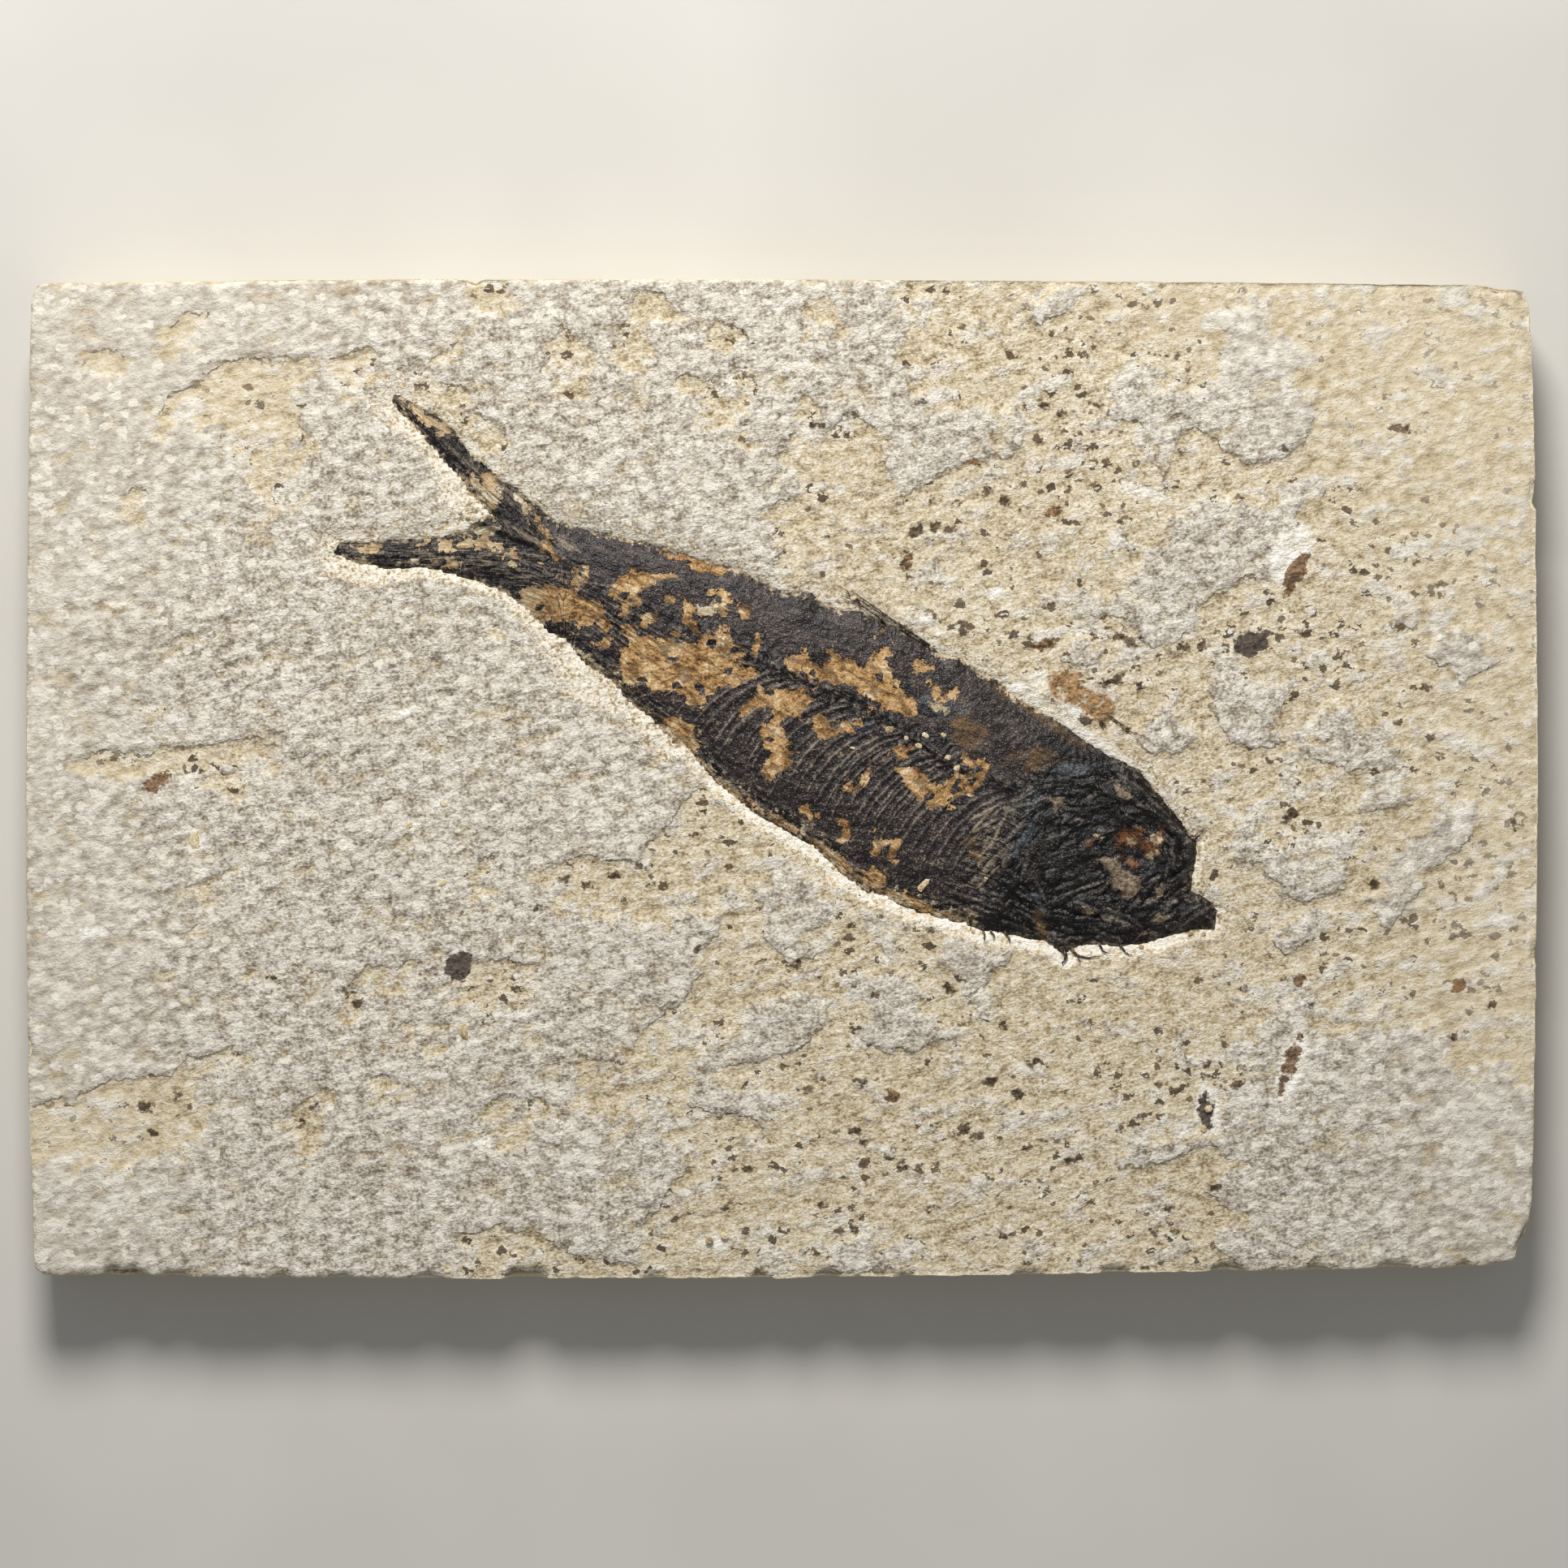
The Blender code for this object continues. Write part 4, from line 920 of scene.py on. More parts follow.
    def worn_face(self, x: Array, y: Array, z: Array) -> tuple[Array, Array, dict[str, tuple[Array, Array]]]:
        """Wear down the face along its four arrises.

        Args:
            x: places along X.
            y: places along Y.
            z: the height of the unworn face.

        Returns:
            The worn face's points, how worn each is, and for each side its bite and its drop.
        """
        sides = {
            "bottom": (y - y[:, :1], x, (0.0, 1.0)),
            "top": (y[:, -1:] - y, x, (0.0, -1.0)),
            "left": (x - x[:1, :], y, (1.0, 0.0)),
            "right": (x[-1:, :] - x, y, (-1.0, 0.0)),
        }
        worn = np.zeros(x.shape)
        face_x, face_y = x.copy(), y.copy()
        drops: dict[str, tuple[Array, Array]] = {}
        for side, (inward, places, (right, up)) in sides.items():
            bite, drop = self.arris(side, places)
            share = np.clip(1.0 - inward / bite, 0.0, 1.0)
            face_x += right * 0.5 * bite * share
            face_y += up * 0.5 * bite * share
            z = z - 0.5 * drop * share ** 1.4
            worn = np.maximum(worn, share)
            drops[side] = (bite, drop)
        return np.stack([face_x, face_y, z], axis=-1), worn, drops

    def sawn_sides(self, x: Array, y: Array, z: Array,
                   drops: dict[str, tuple[Array, Array]]) -> tuple[Array, Array, Array]:
        """Carry the face's rim down the sides to the plate's back, over the chips and the soft seams.

        Args:
            x: places of the face's points along X, before wear.
            y: the same along Y.
            z: the worn face's height.
            drops: each side's bite and drop.

        Returns:
            The sides' points, their faces and the numbers of the lowest row's points.
        """
        numbers = np.arange(x.size).reshape(x.shape)
        # The face's rim, anticlockwise from its lower left corner, and the side that each point is on
        ring = np.concatenate([numbers[:-1, 0], numbers[-1, :-1], numbers[:0:-1, -1], numbers[0, :0:-1]])
        side_names = np.repeat(["bottom", "right", "top", "left"], [self.columns, self.rows] * 2)
        bites, falls = (np.array([drops[name][part].ravel()[i] for name, i in zip(side_names, ring)])
                        for part in (0, 1))
        flat_x, flat_y, ring_z = (table.ravel()[ring] for table in (x, y, z))
        ahead_x, ahead_y = (np.roll(flat, -2) - np.roll(flat, 2) for flat in (flat_x, flat_y))
        length = np.hypot(ahead_x, ahead_y)
        out_x, out_y = ahead_y / length, -ahead_x / length
        travel = np.cumsum(np.hypot(flat_x - np.roll(flat_x, 1), flat_y - np.roll(flat_y, 1)))
        spots, faces = [], []
        previous, count = ring, x.size
        for depth in self.side_rows:
            height = FACE_HEIGHT - depth
            shell = np.clip(1.0 - depth / falls, 0.0, 1.0) ** 1.3
            layered = 0.10 * ROCK_NOISE.hills(travel, travel * 0 + 40.0 * height, 11.0)
            ragged = 0.05 * ROCK_NOISE.layered(travel, travel * 0 + height * 2.2, 1.6, 3)
            wear = np.clip(ROCK_NOISE.hills(travel, travel * 0 + round(height) * 9.0, 6.0), 0.0, 1.0)
            on_seam = sum(math.exp(-((height - seam) / self.seam_width) ** 2) for seam in self.seams)
            inset = 0.5 * bites * shell + layered * 0.5 + np.abs(ragged) + self.seam_wear * wear * on_seam
            inset = np.maximum(inset, 0.0) + (self.foot_wear if depth == self.side_rows[-1] else 0.0)
            settled = np.clip(depth / np.maximum(falls, 0.3), 0, 1)
            level = np.minimum(height, mix(ring_z - 0.02, height, settled))
            spots.append(np.stack([flat_x - out_x * inset, flat_y - out_y * inset, level], axis=-1))
            row = count + np.arange(ring.size)
            count += ring.size
            faces.append(np.stack([previous, row, np.roll(row, -1), np.roll(previous, -1)], axis=-1))
            previous = row
        return np.concatenate(spots), np.concatenate(faces), previous

    def build(self, fish: FishShape) -> Thing:
        """Build the plate as one closed mesh with the fields that its material reads.

        Args:
            fish: the fish whose hollow and bed are cut into the face.

        Returns:
            The plate's object.
        """
        x, y = self.face_plan()
        fish_gap = fish.gap(x, y)
        lamina = self.lamina_gap(x, y)
        face, worn, drops = self.worn_face(x, y, self.face_rise(x, y, lamina, fish_gap))
        side_spots, side_quads, foot = self.sawn_sides(x, y, face[..., 2], drops)
        spots = np.concatenate([face.reshape(-1, 3), side_spots])
        face_quads = grid_faces(np.arange(x.size).reshape(x.shape))
        faces = [tuple(quad) for quad in np.concatenate([face_quads, side_quads])]
        faces.append(tuple(foot[::-1]))
        fields = self.fields(spots, x.size, lamina.ravel(), fish_gap.ravel(), worn.ravel())
        slab = mesh_from("limestone_matrix", spots, faces, fields)
        is_side = np.arange(len(faces)) >= len(face_quads)
        slab.data.polygons.foreach_set("material_index", is_side.astype(np.int32))
        return slab

    def fields(self, spots: Array, face_count: int, lamina: Array, fish_gap: Array,
               worn: Array) -> dict[str, Array]:
        """Work out the numbers that the limestone's material reads at each point.

        Args:
            spots: every point of the plate.
            face_count: how many of them, at the start, are on the face.
            lamina: signed distance to the flaked areas, for the face's points.
            fish_gap: signed distance to the fish, for the face's points.
            worn: how worn the arris is, for the face's points.

        Returns:
            One array for each named field.
        """
        x, y = spots[:, 0], spots[:, 1]
        above = self.lamina_gap(x, y + self.slope_reach)
        below = self.lamina_gap(x, y - self.slope_reach)
        rest = spots.shape[0] - face_count
        halo = self.scraped_share(x[:face_count], y[:face_count], fish_gap)
        return {
            "lamina": np.concatenate([lamina, np.zeros(rest)]),
            "facing": np.clip((above - below) / (2 * self.slope_reach), -1.0, 1.0),
            "halo": np.concatenate([np.clip(halo, -1.0, 6.0), np.full(rest, 6.0)]),
            **{mark.name.lower(): self.marks(mark, x, y) for mark in Mark},
            "stain": signed_gap(STAIN, x + 0.5 * ROCK_NOISE.layered(x, y, 2.0, 3), y, 3.0),
            "calm": soft_step(0.62, 1.12, np.hypot(x / 78.0, (np.maximum(y, -12.0) - 4.0) / 62.0)),
            "fresh": self.white_and_lit_share(x, y),
            "worn": np.concatenate([worn, np.ones(rest)]),
        }


@dataclass(frozen=True)
class Strand:
    """One splinter of bone or rib: its line, its width in millimetres, its height and its own number."""

    points: Points
    width: float
    level: float
    tone: float


@dataclass(frozen=True)
class StrandCover:
    """What the uppermost strand gives each place: its rounded profile, its number and its lit edge."""

    profile: Array
    tone: Array
    lit: Array
    level: Array


@dataclass(frozen=True)
class SplinterBed:
    """Splinters of bone, laid over one another along the bones that they come from."""

    # Each course: how far to each side splinters lie, how many, their length and width in millimetres,
    # and the course's line as paired() takes it
    courses: tuple[tuple[float, ...], ...] = (
        (0.9, 16, 3.4, 0.34, 194, -48, 226, -26, 262, -10),
        (1.0, 20, 3.6, 0.36, 194, -76, 224, -46, 260, -22),
        (1.0, 20, 3.8, 0.36, 198, -104, 224, -72, 256, -32),
        (0.9, 16, 3.2, 0.38, 216, -120, 238, -84, 262, -40),
        (0.35, 8, 4.2, 0.7, 264, -14, 248, -30, 230, -60, 224, -86),
        (0.35, 7, 3.0, 0.62, 262, -26, 248, -50, 234, -76), (0.7, 11, 3.5, 0.87, 256, 2, 286, 0, 320, 3),
        (1.3, 20, 2.1, 0.55, 252, -14, 284, -22, 316, -16, 344, -14),
        (1.4, 20, 1.9, 0.58, 266, -44, 294, -34, 326, -28),
        (1.2, 16, 2.0, 0.64, 264, -74, 294, -60, 324, -52),
        (1.3, 14, 2.6, 0.9, 268, -100, 294, -86, 318, -74),
        (1.0, 14, 2.5, 0.75, 274, -122, 300, -114, 326, -98),
        (0.6, 20, 3.3, 0.72, 332, 14, 358, -6, 378, -30, 396, -46, 408, -66),
        (0.5, 14, 2.9, 0.67, 409, -64, 413, -84, 406, -106, 384, -128),
        (0.7, 14, 2.2, 0.52, 324, -8, 352, -24, 376, -44, 392, -66),
        (0.6, 8, 1.8, 0.49, 340, -34, 362, -44, 384, -62), (0.6, 8, 1.8, 0.49, 386, -68, 394, -84, 388, -98),
        (0.7, 12, 3.1, 0.58, 358, -106, 382, -94, 408, -84),
        (0.9, 19, 3.3, 0.67, 352, -138, 380, -122, 408, -104),
        (0.8, 17, 2.6, 0.64, 370, -154, 400, -144, 432, -128),
        (0.4, 7, 1.8, 0.58, 406, -118, 422, -126, 434, -146),
        (0.9, 17, 3.1, 0.58, 294, -126, 326, -134, 360, -148),
        (0.9, 16, 2.6, 0.61, 272, -140, 304, -148, 340, -160),
        (0.5, 9, 2.2, 0.64, 256, -154, 286, -164, 314, -164),
        (1.0, 26, 2.2, 0.36, 194, -120, 226, -132, 264, -152),
        (0.6, 8, 2.4, 0.67, 246, -94, 258, -112, 268, -136),
        (0.9, 14, 1.9, 0.4, 220, -94, 238, -106, 254, -128),
        (1.2, 46, 5.0, 0.34, -210, 220, -246, 246, -282, 279, -310, 304),
        (0.6, 30, 4.6, 0.34, -304, 300, -331, 329, -356, 353, -390, 385),
        (1.3, 52, 5.2, 0.34, -204, 200, -250, 216, -300, 220, -340, 226),
        (0.8, 34, 4.4, 0.32, -320, 226, -380, 226, -415, 227, -450, 231),
        (1.4, 30, 3.6, 0.34, -150, 164, -190, 182, -240, 206),
        (0.9, 16, 3.6, 0.2, -162, 114, -100, 116, -40, 130),
        (0.9, 16, 3.6, 0.2, -146, 88, -90, 98, -30, 122),
        (0.7, 8, 2.4, 0.2, -244, 166, -206, 166, -172, 158),
        (0.7, 12, 2.6, 0.3, -240, 152, -200, 130, -160, 96),
        (0.6, 14, 3.0, 0.32, -120, 54, -84, 20, -45, -16), (0.6, 22, 3.4, 0.34, -50, -14, -10, -42, 35, -68),
        (0.7, 24, 3.6, 0.36, 25, -62, 64, -92, 100, -113),
        (0.7, 28, 3.4, 0.36, 86, -106, 130, -126, 184, -140),
    )
    # A usual turn of a splinter away from its course, in degrees
    sway: float = 11.0
    # The crumbled row of vertebrae: its line, and its splinters' number, spread, length, width and sway
    ridge: Points = paired(-100, 154, -60, 136, -10, 112, 50, 86, 96, 60, 140, 32, 190, 6)
    ridge_count: int = 360
    ridge_sizes: tuple[float, float, float, float] = (1.1, 0.8, 0.36, 55.0)
    seed: int = 29

    def strands(self) -> list[Strand]:
        """Scatter the splinters along their courses.

        Returns:
            Every splinter.
        """
        rng = np.random.default_rng(self.seed)
        strands = []
        for spread, count, length, width, *tenths in self.courses:
            line = paired(*tenths)
            strands += [self.splinter(line, spread, length, width, self.sway, rng) for _ in range(int(count))]
        for _ in range(self.ridge_count):
            crumb = self.splinter(self.ridge, *self.ridge_sizes, rng)
            strands.append(replace(crumb, tone=0.8 * crumb.tone))
        return strands

    def splinter(self, line: Points, spread: float, length: float, width: float, sway: float,
                 rng: np.random.Generator) -> Strand:
        """One splinter beside a line.

        Args:
            line: the line that it follows.
            spread: how far it may lie to each side.
            length: a usual length.
            width: a usual width.
            sway: a usual turn away from the line, in degrees.
            rng: the seeded generator.

        Returns:
            The splinter.
        """
        spots = np.array(line)
        steps = np.hypot(*np.diff(spots, axis=0).T)
        marks = np.concatenate([[0.0], np.cumsum(steps)])
        size = length * math.exp(rng.normal(0.0, 0.4))
        start = rng.uniform(-0.1, 1.0) * marks[-1] - 0.3 * size
        places = np.clip(start + np.array([0.0, 0.5, 1.0]) * size, -1.0, marks[-1] + 1.0)
        points = np.stack([np.interp(places, marks, spots[:, axis]) for axis in (0, 1)], axis=-1)
        heading = spots[-1] - spots[0]
        if places[-1] - places[0] > 0.2 and np.hypot(*(points[2] - points[0])) > 0.2:
            heading = points[2] - points[0]
        angle = math.atan2(heading[1], heading[0])
        sideways = np.array([-math.sin(angle), math.cos(angle)]) * rng.uniform(-spread, spread)
        turn = math.radians(rng.normal(0.0, sway))
        straight = np.array([math.cos(angle), math.sin(angle)]) * size / 2
        middle = points[1]
        bowed = np.stack([middle - straight, middle, middle + straight]) * 0.4 + points * 0.6
        offset = bowed - middle
        placed = np.stack(turned(offset[:, 0], offset[:, 1], turn), axis=-1) + middle + sideways
        drawn = tuple(map(tuple, placed.tolist()))
        return Strand(drawn, width * math.exp(rng.normal(0.0, 0.3)), rng.random(), rng.random())

    def cover(self, strands: list[Strand], x: Array, y: Array) -> StrandCover:
        """Lay strands over the fish, the higher ones on top.

        Args:
            strands: the strands.
            x: places along X.
            y: places along Y.

        Returns:
            What the uppermost strand gives each place; its level is -1 where there is none.
        """
        u = x + 0.13 * FISH_NOISE.layered(x, y, 1.7, 2)
        v = y + 0.13 * FISH_NOISE.layered(x + 71.0, y, 1.7, 2)
        top = np.full(x.shape, -1.0)
        profile, lit = np.zeros(x.shape), np.zeros(x.shape)
        tone = np.full(x.shape, 0.5)
        level = np.full(x.shape, -1.0)
        for strand in strands:
            spots = np.array(strand.points)
            low, high = spots.min(axis=0) - strand.width, spots.max(axis=0) + strand.width
            near = np.flatnonzero((u > low[0]) & (u < high[0]) & (v > low[1]) & (v < high[1]))
            stroke = against_line(strand.points, u[near], v[near])
            length = np.hypot(*np.diff(spots, axis=0).T).sum()
            share = stroke.along / length
            half = strand.width / 2 * np.clip(np.minimum(share / 0.15, (1.0 - share) / 0.3), 0.05, 1.0) ** 0.6
            across = np.clip(stroke.side / half, -1.0, 1.0)
            rounded = np.sqrt(1.0 - across ** 2)
            rise = strand.level + 0.35 * rounded
            upper = (rounded > 0.02) & (rise > top[near])
            spot = near[upper]
            facing = 1.0 if spots[-1][0] > spots[0][0] else -1.0
            top[spot] = rise[upper]
            profile[spot] = rounded[upper]
            tone[spot] = strand.tone
            level[spot] = strand.level
            lit_edge = np.exp(-((across[upper] * facing - 0.4) / 0.3) ** 2)
            lit[spot] = lit_edge * soft_step(0.35, 0.9, strand.tone)
        return StrandCover(profile, tone, lit, level)


@dataclass(frozen=True)
class FossilFish:
    """The carbonised fish: crust, ribs, backbone, tail strands and head bones, in millimetres."""

    shape: FishShape = FishShape()
    # The crust's grid and the area that it covers, the cap on its height, and its flat underside
    spacing: float = 0.129
    reach_x: Pair = (-46.2, 45.0)
    reach_y: Pair = (-18.9, 39.9)
    highest: float = 10.42
    underside: float = FACE_HEIGHT - 1.4
    # Ribs: how far apart, where the first and the last have their roots, and the roots' offset across
    rib_pitch: float = 1.12
    first_rib: float = -9.5
    last_rib: float = 27.8
    root_offset: float = 3.5
    vertebra_length: float = 1.25
    # Depth that the body's fibres are counted over, however deep the body is there
    body_depth: float = 18.0
    seed: int = 5
    # Course of a rib back and down from its root, as two points of a bend: the hindmost, then the others
    hind_bend: Points = ((-4.6, -3.4), (-8.2, -5.2))
    front_bend: Points = ((-4.6, -3.05), (-4.8, -9.9))
    back_line: Points = paired(
        -310, 70, -270, 70, -190, 90, -120, 103, -55, 108, 25, 124, 90, 126, 180, 125, 255, 115, 350, 108,
        400, 88, 438, 58, 485, 20,
    )
    belly_line: Points = paired(
        -310, -24, -210, -44, -124, -69, -65, -78, -10, -104, 95, -110, 160, -126, 223, -119, 280, -108,
        354, -89, 430, -49, 485, -10,
    )

    # Main bones of the head: middle, length and width, degrees turned from +X, and height
    head_bones: tuple[tuple[Pair, Pair, float, float], ...] = (
        ((25.6, -7.4), (9.0, 12.0), 20.0, 0.30), ((39.6, -14.0), (8.6, 2.2), 4.0, 0.26),
        ((31.8, -0.6), (9.0, 2.2), -26.0, 0.16), ((32.4, -12.8), (9.0, 2.0), 2.0, 0.20),
        ((29.4, -5.4), (3.0, 7.6), 12.0, 0.16), ((36.4, -11.0), (7.0, 2.0), -8.0, 0.18),
        ((22.0, -13.4), (8.0, 2.0), -14.0, 0.14), ((38.8, -4.2), (4.6, 1.8), -52.0, 0.16),
    )

    def rib_phase(self, s: Array, t: Array) -> Array:
        """Count ribs along the fish: a whole number on each rib, from the hindmost forwards.

        Args:
            s: places along the fish's axis.
            t: places across it.

        Returns:
            The count at each place.
        """
        shares = np.linspace(0.0, 1.0, 40)
        courses = []
        for bend, tip in (self.hind_bend, self.front_bend):
            along = 2 * shares * (1 - shares) * bend[0] + shares * shares * tip[0]
            down = 2 * shares * (1 - shares) * bend[1] + shares * shares * tip[1]
            along = np.append(along, 4 * tip[0] - 3 * bend[0])
            down = np.append(down, 4 * tip[1] - 3 * bend[1])
            courses.append(np.interp(t - self.root_offset, down[::-1], along[::-1]))
        root = s + 3.0
        for _ in range(5):
            front = soft_step(0.0, 12.0, root - self.first_rib)
            root = s - mix(courses[0], courses[1], front)
        return (root - self.first_rib) / self.rib_pitch

    def rib_strands(self) -> list[Strand]:
        """Draw each rib as two or three thin strands along its course.

        Returns:
            Every rib's strands.
        """
        rng = np.random.default_rng(self.seed)
        strands = []
        for root in np.arange(self.first_rib, self.last_rib, self.rib_pitch):
            front = float(soft_step(0.0, 12.0, root - self.first_rib))
            for twin in range(1 + int(rng.choice(3, p=(0.25, 0.5, 0.25)))):
                start = rng.uniform(0.0, 0.2) + 0.14 * twin
                end = rng.uniform(0.98, 1.16) - 0.10 * twin
                shares = np.linspace(start, end, 8)
                bends = []
                for axis in (0, 1):
                    hind, fore = ((2 * shares * (1 - shares) * bend[axis] + shares * shares * tip[axis])
                                  for bend, tip in (self.hind_bend, self.front_bend))
                    bends.append(mix(hind, fore, front))
                base = root + (rng.normal(0.0, 0.12) + (0.0, 0.36, -0.34)[twin])
                drift = rng.normal(0.0, 0.22)
                spots = [self.shape.on_plate(base + drift * (share - start) + along, self.root_offset + down)
                         for share, along, down in zip(shares, *bends)]
                width = (0.42, 0.32, 0.26)[twin] * math.exp(rng.normal(0.0, 0.2))
                strands.append(Strand(tuple(spots), width, 0.6 - 0.2 * twin + 0.2 * rng.random(),
                                      rng.uniform(0.55, 1.0)))
        return strands

    def kept_cells(self, gap: Array) -> Array:
        """Choose the grid's cells that lie inside the outline, as one patch without pinched corners.

        Args:
            gap: signed distance to the outline at each grid point.

        Returns:
            A table that is true for each kept cell.
        """
        inside = gap < 0.05
        kept = inside[:-1, :-1] & inside[1:, :-1] & inside[1:, 1:] & inside[:-1, 1:]
        reached = np.zeros(kept.shape, dtype=bool)
        middle = (kept.shape[0] // 2, kept.shape[1] // 2)
        nearest = np.argwhere(kept)
        start = tuple(nearest[np.argmin(np.abs(nearest - middle).sum(axis=1))])
        reached[start] = True
        edge = [start]
        while edge:
            column, row = edge.pop()
            for step_x, step_y in ((1, 0), (-1, 0), (0, 1), (0, -1)):
                spot = (column + step_x, row + step_y)
                if kept[spot] and not reached[spot]:
                    reached[spot] = True
                    edge.append(spot)
        for _ in range(4):
            rising = reached[:-1, :-1] & reached[1:, 1:] & ~reached[1:, :-1] & ~reached[:-1, 1:]
            falling = reached[1:, :-1] & reached[:-1, 1:] & ~reached[:-1, :-1] & ~reached[1:, 1:]
            reached[1:, :-1] |= rising
            reached[:-1, :-1] |= falling
        return reached

    def fibres(self, x: Array, y: Array) -> Array:
        """Places along and across the fibres, in millimetres, following the bones of each region.

        Args:
            x: places along X.
            y: places along Y.

        Returns:
            For each place, its distance along the fibres, its distance across them, and zero.
        """
        s, t = self.shape.axes(x, y)
        back = np.interp(s, *np.array(self.back_line).T)
        belly = np.interp(s, *np.array(self.belly_line).T)
        along, across = s, self.body_depth * (t - belly) / (back - belly)
        in_tail = soft_step(-19.5, -24.5, x)
        for lobe, offset in ((self.shape.upper_lobe, 12.0), (self.shape.lower_lobe, 4.0)):
            stroke = against_line(lobe, x, y)
            other = self.shape.lower_lobe if lobe is self.shape.upper_lobe else self.shape.upper_lobe
            nearer = soft_step(0.5, -0.5, stroke.distance - against_line(other, x, y).distance)
            along = mix(along, -24.0 - stroke.along, in_tail * nearer)
            across = mix(across, 1.5 * stroke.side + offset, in_tail * nearer)
        ox, oy = x - self.shape.orbit[0], y - self.shape.orbit[1]
        radius = np.hypot(ox, oy)
        in_orbit = soft_step(6.4, 4.6, radius) * soft_step(-0.8, 0.6, ox + oy)
        across = across + soft_step(24.0, 30.0, s) * 1.3 * FISH_NOISE.layered(x, y, 3.0, 3)
        along = mix(along, np.arctan2(oy, ox) * 4.5, in_orbit)
        across = mix(across, radius + 20.0, in_orbit)
        return np.stack([along, across, np.zeros(along.shape)], axis=-1)

    def strands(self, fibres: Array, x: Array, y: Array) -> Array:
        """Height of the coarser fibres, from 0 to 1.

        Args:
            fibres: places along and across the fibres.
            x: places along X.
            y: places along Y.

        Returns:
            The height at each place.
        """
        sway = 0.3 * FISH_NOISE.hills(x, y, 3.5)
        field = FISH_NOISE.hills(fibres[:, 0], fibres[:, 1] + sway, 4.0, 0.55)
        return np.clip(1.0 - 2.1 * np.abs(field), 0.0, 1.0)

    def backbone(self, x: Array, y: Array) -> Array:
        """Height of the row of vertebrae, from 0 to 1.

        Args:
            x: places along X.
            y: places along Y.

        Returns:
            The height at each place.
        """
        stroke = against_line(self.shape.spine, x, y)
        beads = 0.62 + 0.38 * np.cos(2 * math.pi * stroke.along / self.vertebra_length)
        rough = 0.25 * FISH_NOISE.layered(x, y, 0.9, 3)
        ends = soft_step(0.0, 4.0, stroke.along) * soft_step(57.0, 53.0, stroke.along)
        return ends * np.clip(1.0 - (stroke.distance / 0.72) ** 2 + rough, 0.0, 1.0) * beads

    def gap_to(self, patches: tuple[Points, ...], x: Array, y: Array) -> Array:
        """Signed distance to the nearest of some patches, with ragged edges.

        Args:
            patches: the patches' outlines.
            x: places along X.
            y: places along Y.

        Returns:
            The distance at each place.
        """
        u = x + 0.16 * FISH_NOISE.layered(x, y, 0.8, 3, 0.65)
        v = y + 0.16 * FISH_NOISE.layered(x + 33.0, y, 0.8, 3, 0.65)
        gap = np.full(x.shape, 1.5)
        for patch in patches:
            gap = np.minimum(gap, signed_gap(patch, u, v, 1.5))
        return gap

    def head_rise(self, x: Array, y: Array) -> Array:
        """Rise of the gill cover, the ring round the orbit, the cheek and the jaws.

        Args:
            x: places along X.
            y: places along Y.

        Returns:
            The rise at each place, in millimetres.
        """
        rise = np.zeros(x.shape)
        for middle, size, turn, height in self.head_bones:
            inside = -blob(x, y, middle, size, turn) / (min(size) / 2)
            rise = np.maximum(rise, height * np.sqrt(np.clip(inside, 0.0, 1.0)))
        ox, oy = x - self.shape.orbit[0], y - self.shape.orbit[1]
        radius = np.hypot(ox, oy) + 0.35 * FISH_NOISE.layered(x, y, 2.2, 3)
        brow = np.clip((ox + 0.7 * oy) / 3.4, 0.0, 1.0)
        rise = rise + 0.30 * brow * np.exp(-((radius - 3.3) / 0.55) ** 2)
        rise = rise + 0.16 * brow * np.exp(-((radius - 4.9) / 0.45) ** 2)
        rise = rise - 0.24 * soft_step(2.7, 1.5, radius)
        hx, hy = x - self.shape.gill_hub[0], y - self.shape.gill_hub[1]
        reach = np.hypot(hx, hy)
        spokes = FISH_NOISE.hills(np.arctan2(hy, hx) * 9.0, reach * 0.1, 1.0)
        fan = soft_step(0.6, 1.6, reach) * soft_step(8.5, 5.5, reach) * (hy < 0.6) * (hx < 1.6)
        return rise + 0.16 * fan * np.clip(1.0 - 2.0 * np.abs(spokes), 0.0, 1.0)

    def build(self) -> Thing:
        """Build the fish as one closed mesh with the fields that its material reads.

        Returns:
            The fish's object.
        """
        across, up = (np.arange(low, high, self.spacing) for low, high in (self.reach_x, self.reach_y))
        grid_x, grid_y = np.meshgrid(across, up, indexing="ij")
        grid_gap = self.shape.gap(grid_x, grid_y)
        cells = self.kept_cells(grid_gap)
        counted = np.zeros(grid_x.shape, dtype=int)
        for step_x in (0, 1):
            for step_y in (0, 1):
                counted[step_x:step_x + cells.shape[0], step_y:step_y + cells.shape[1]] += cells
        slope_x, slope_y = np.gradient(grid_gap, self.spacing)
        rim = (counted > 0) & (counted < 4)
        shift = np.where(rim, np.clip(grid_gap, -0.1, 0.1), 0.0)
        grid_x = grid_x - shift * np.clip(slope_x, -1.0, 1.0)
        grid_y = grid_y - shift * np.clip(slope_y, -1.0, 1.0)
        used = counted > 0
        numbers = np.cumsum(used.ravel()).reshape(used.shape) - 1
        x, y = grid_x[used], grid_y[used]
        gap = np.minimum(grid_gap[used], 0.0)
        quads = grid_faces(numbers)[cells.ravel()]
        fields, rise = self.surface(x, y, gap)
        z = self.shape.crust(gap) + rise
        spots = np.stack([x, y, np.minimum(z, self.highest)], axis=-1)
        return self.close(spots, quads, fields)

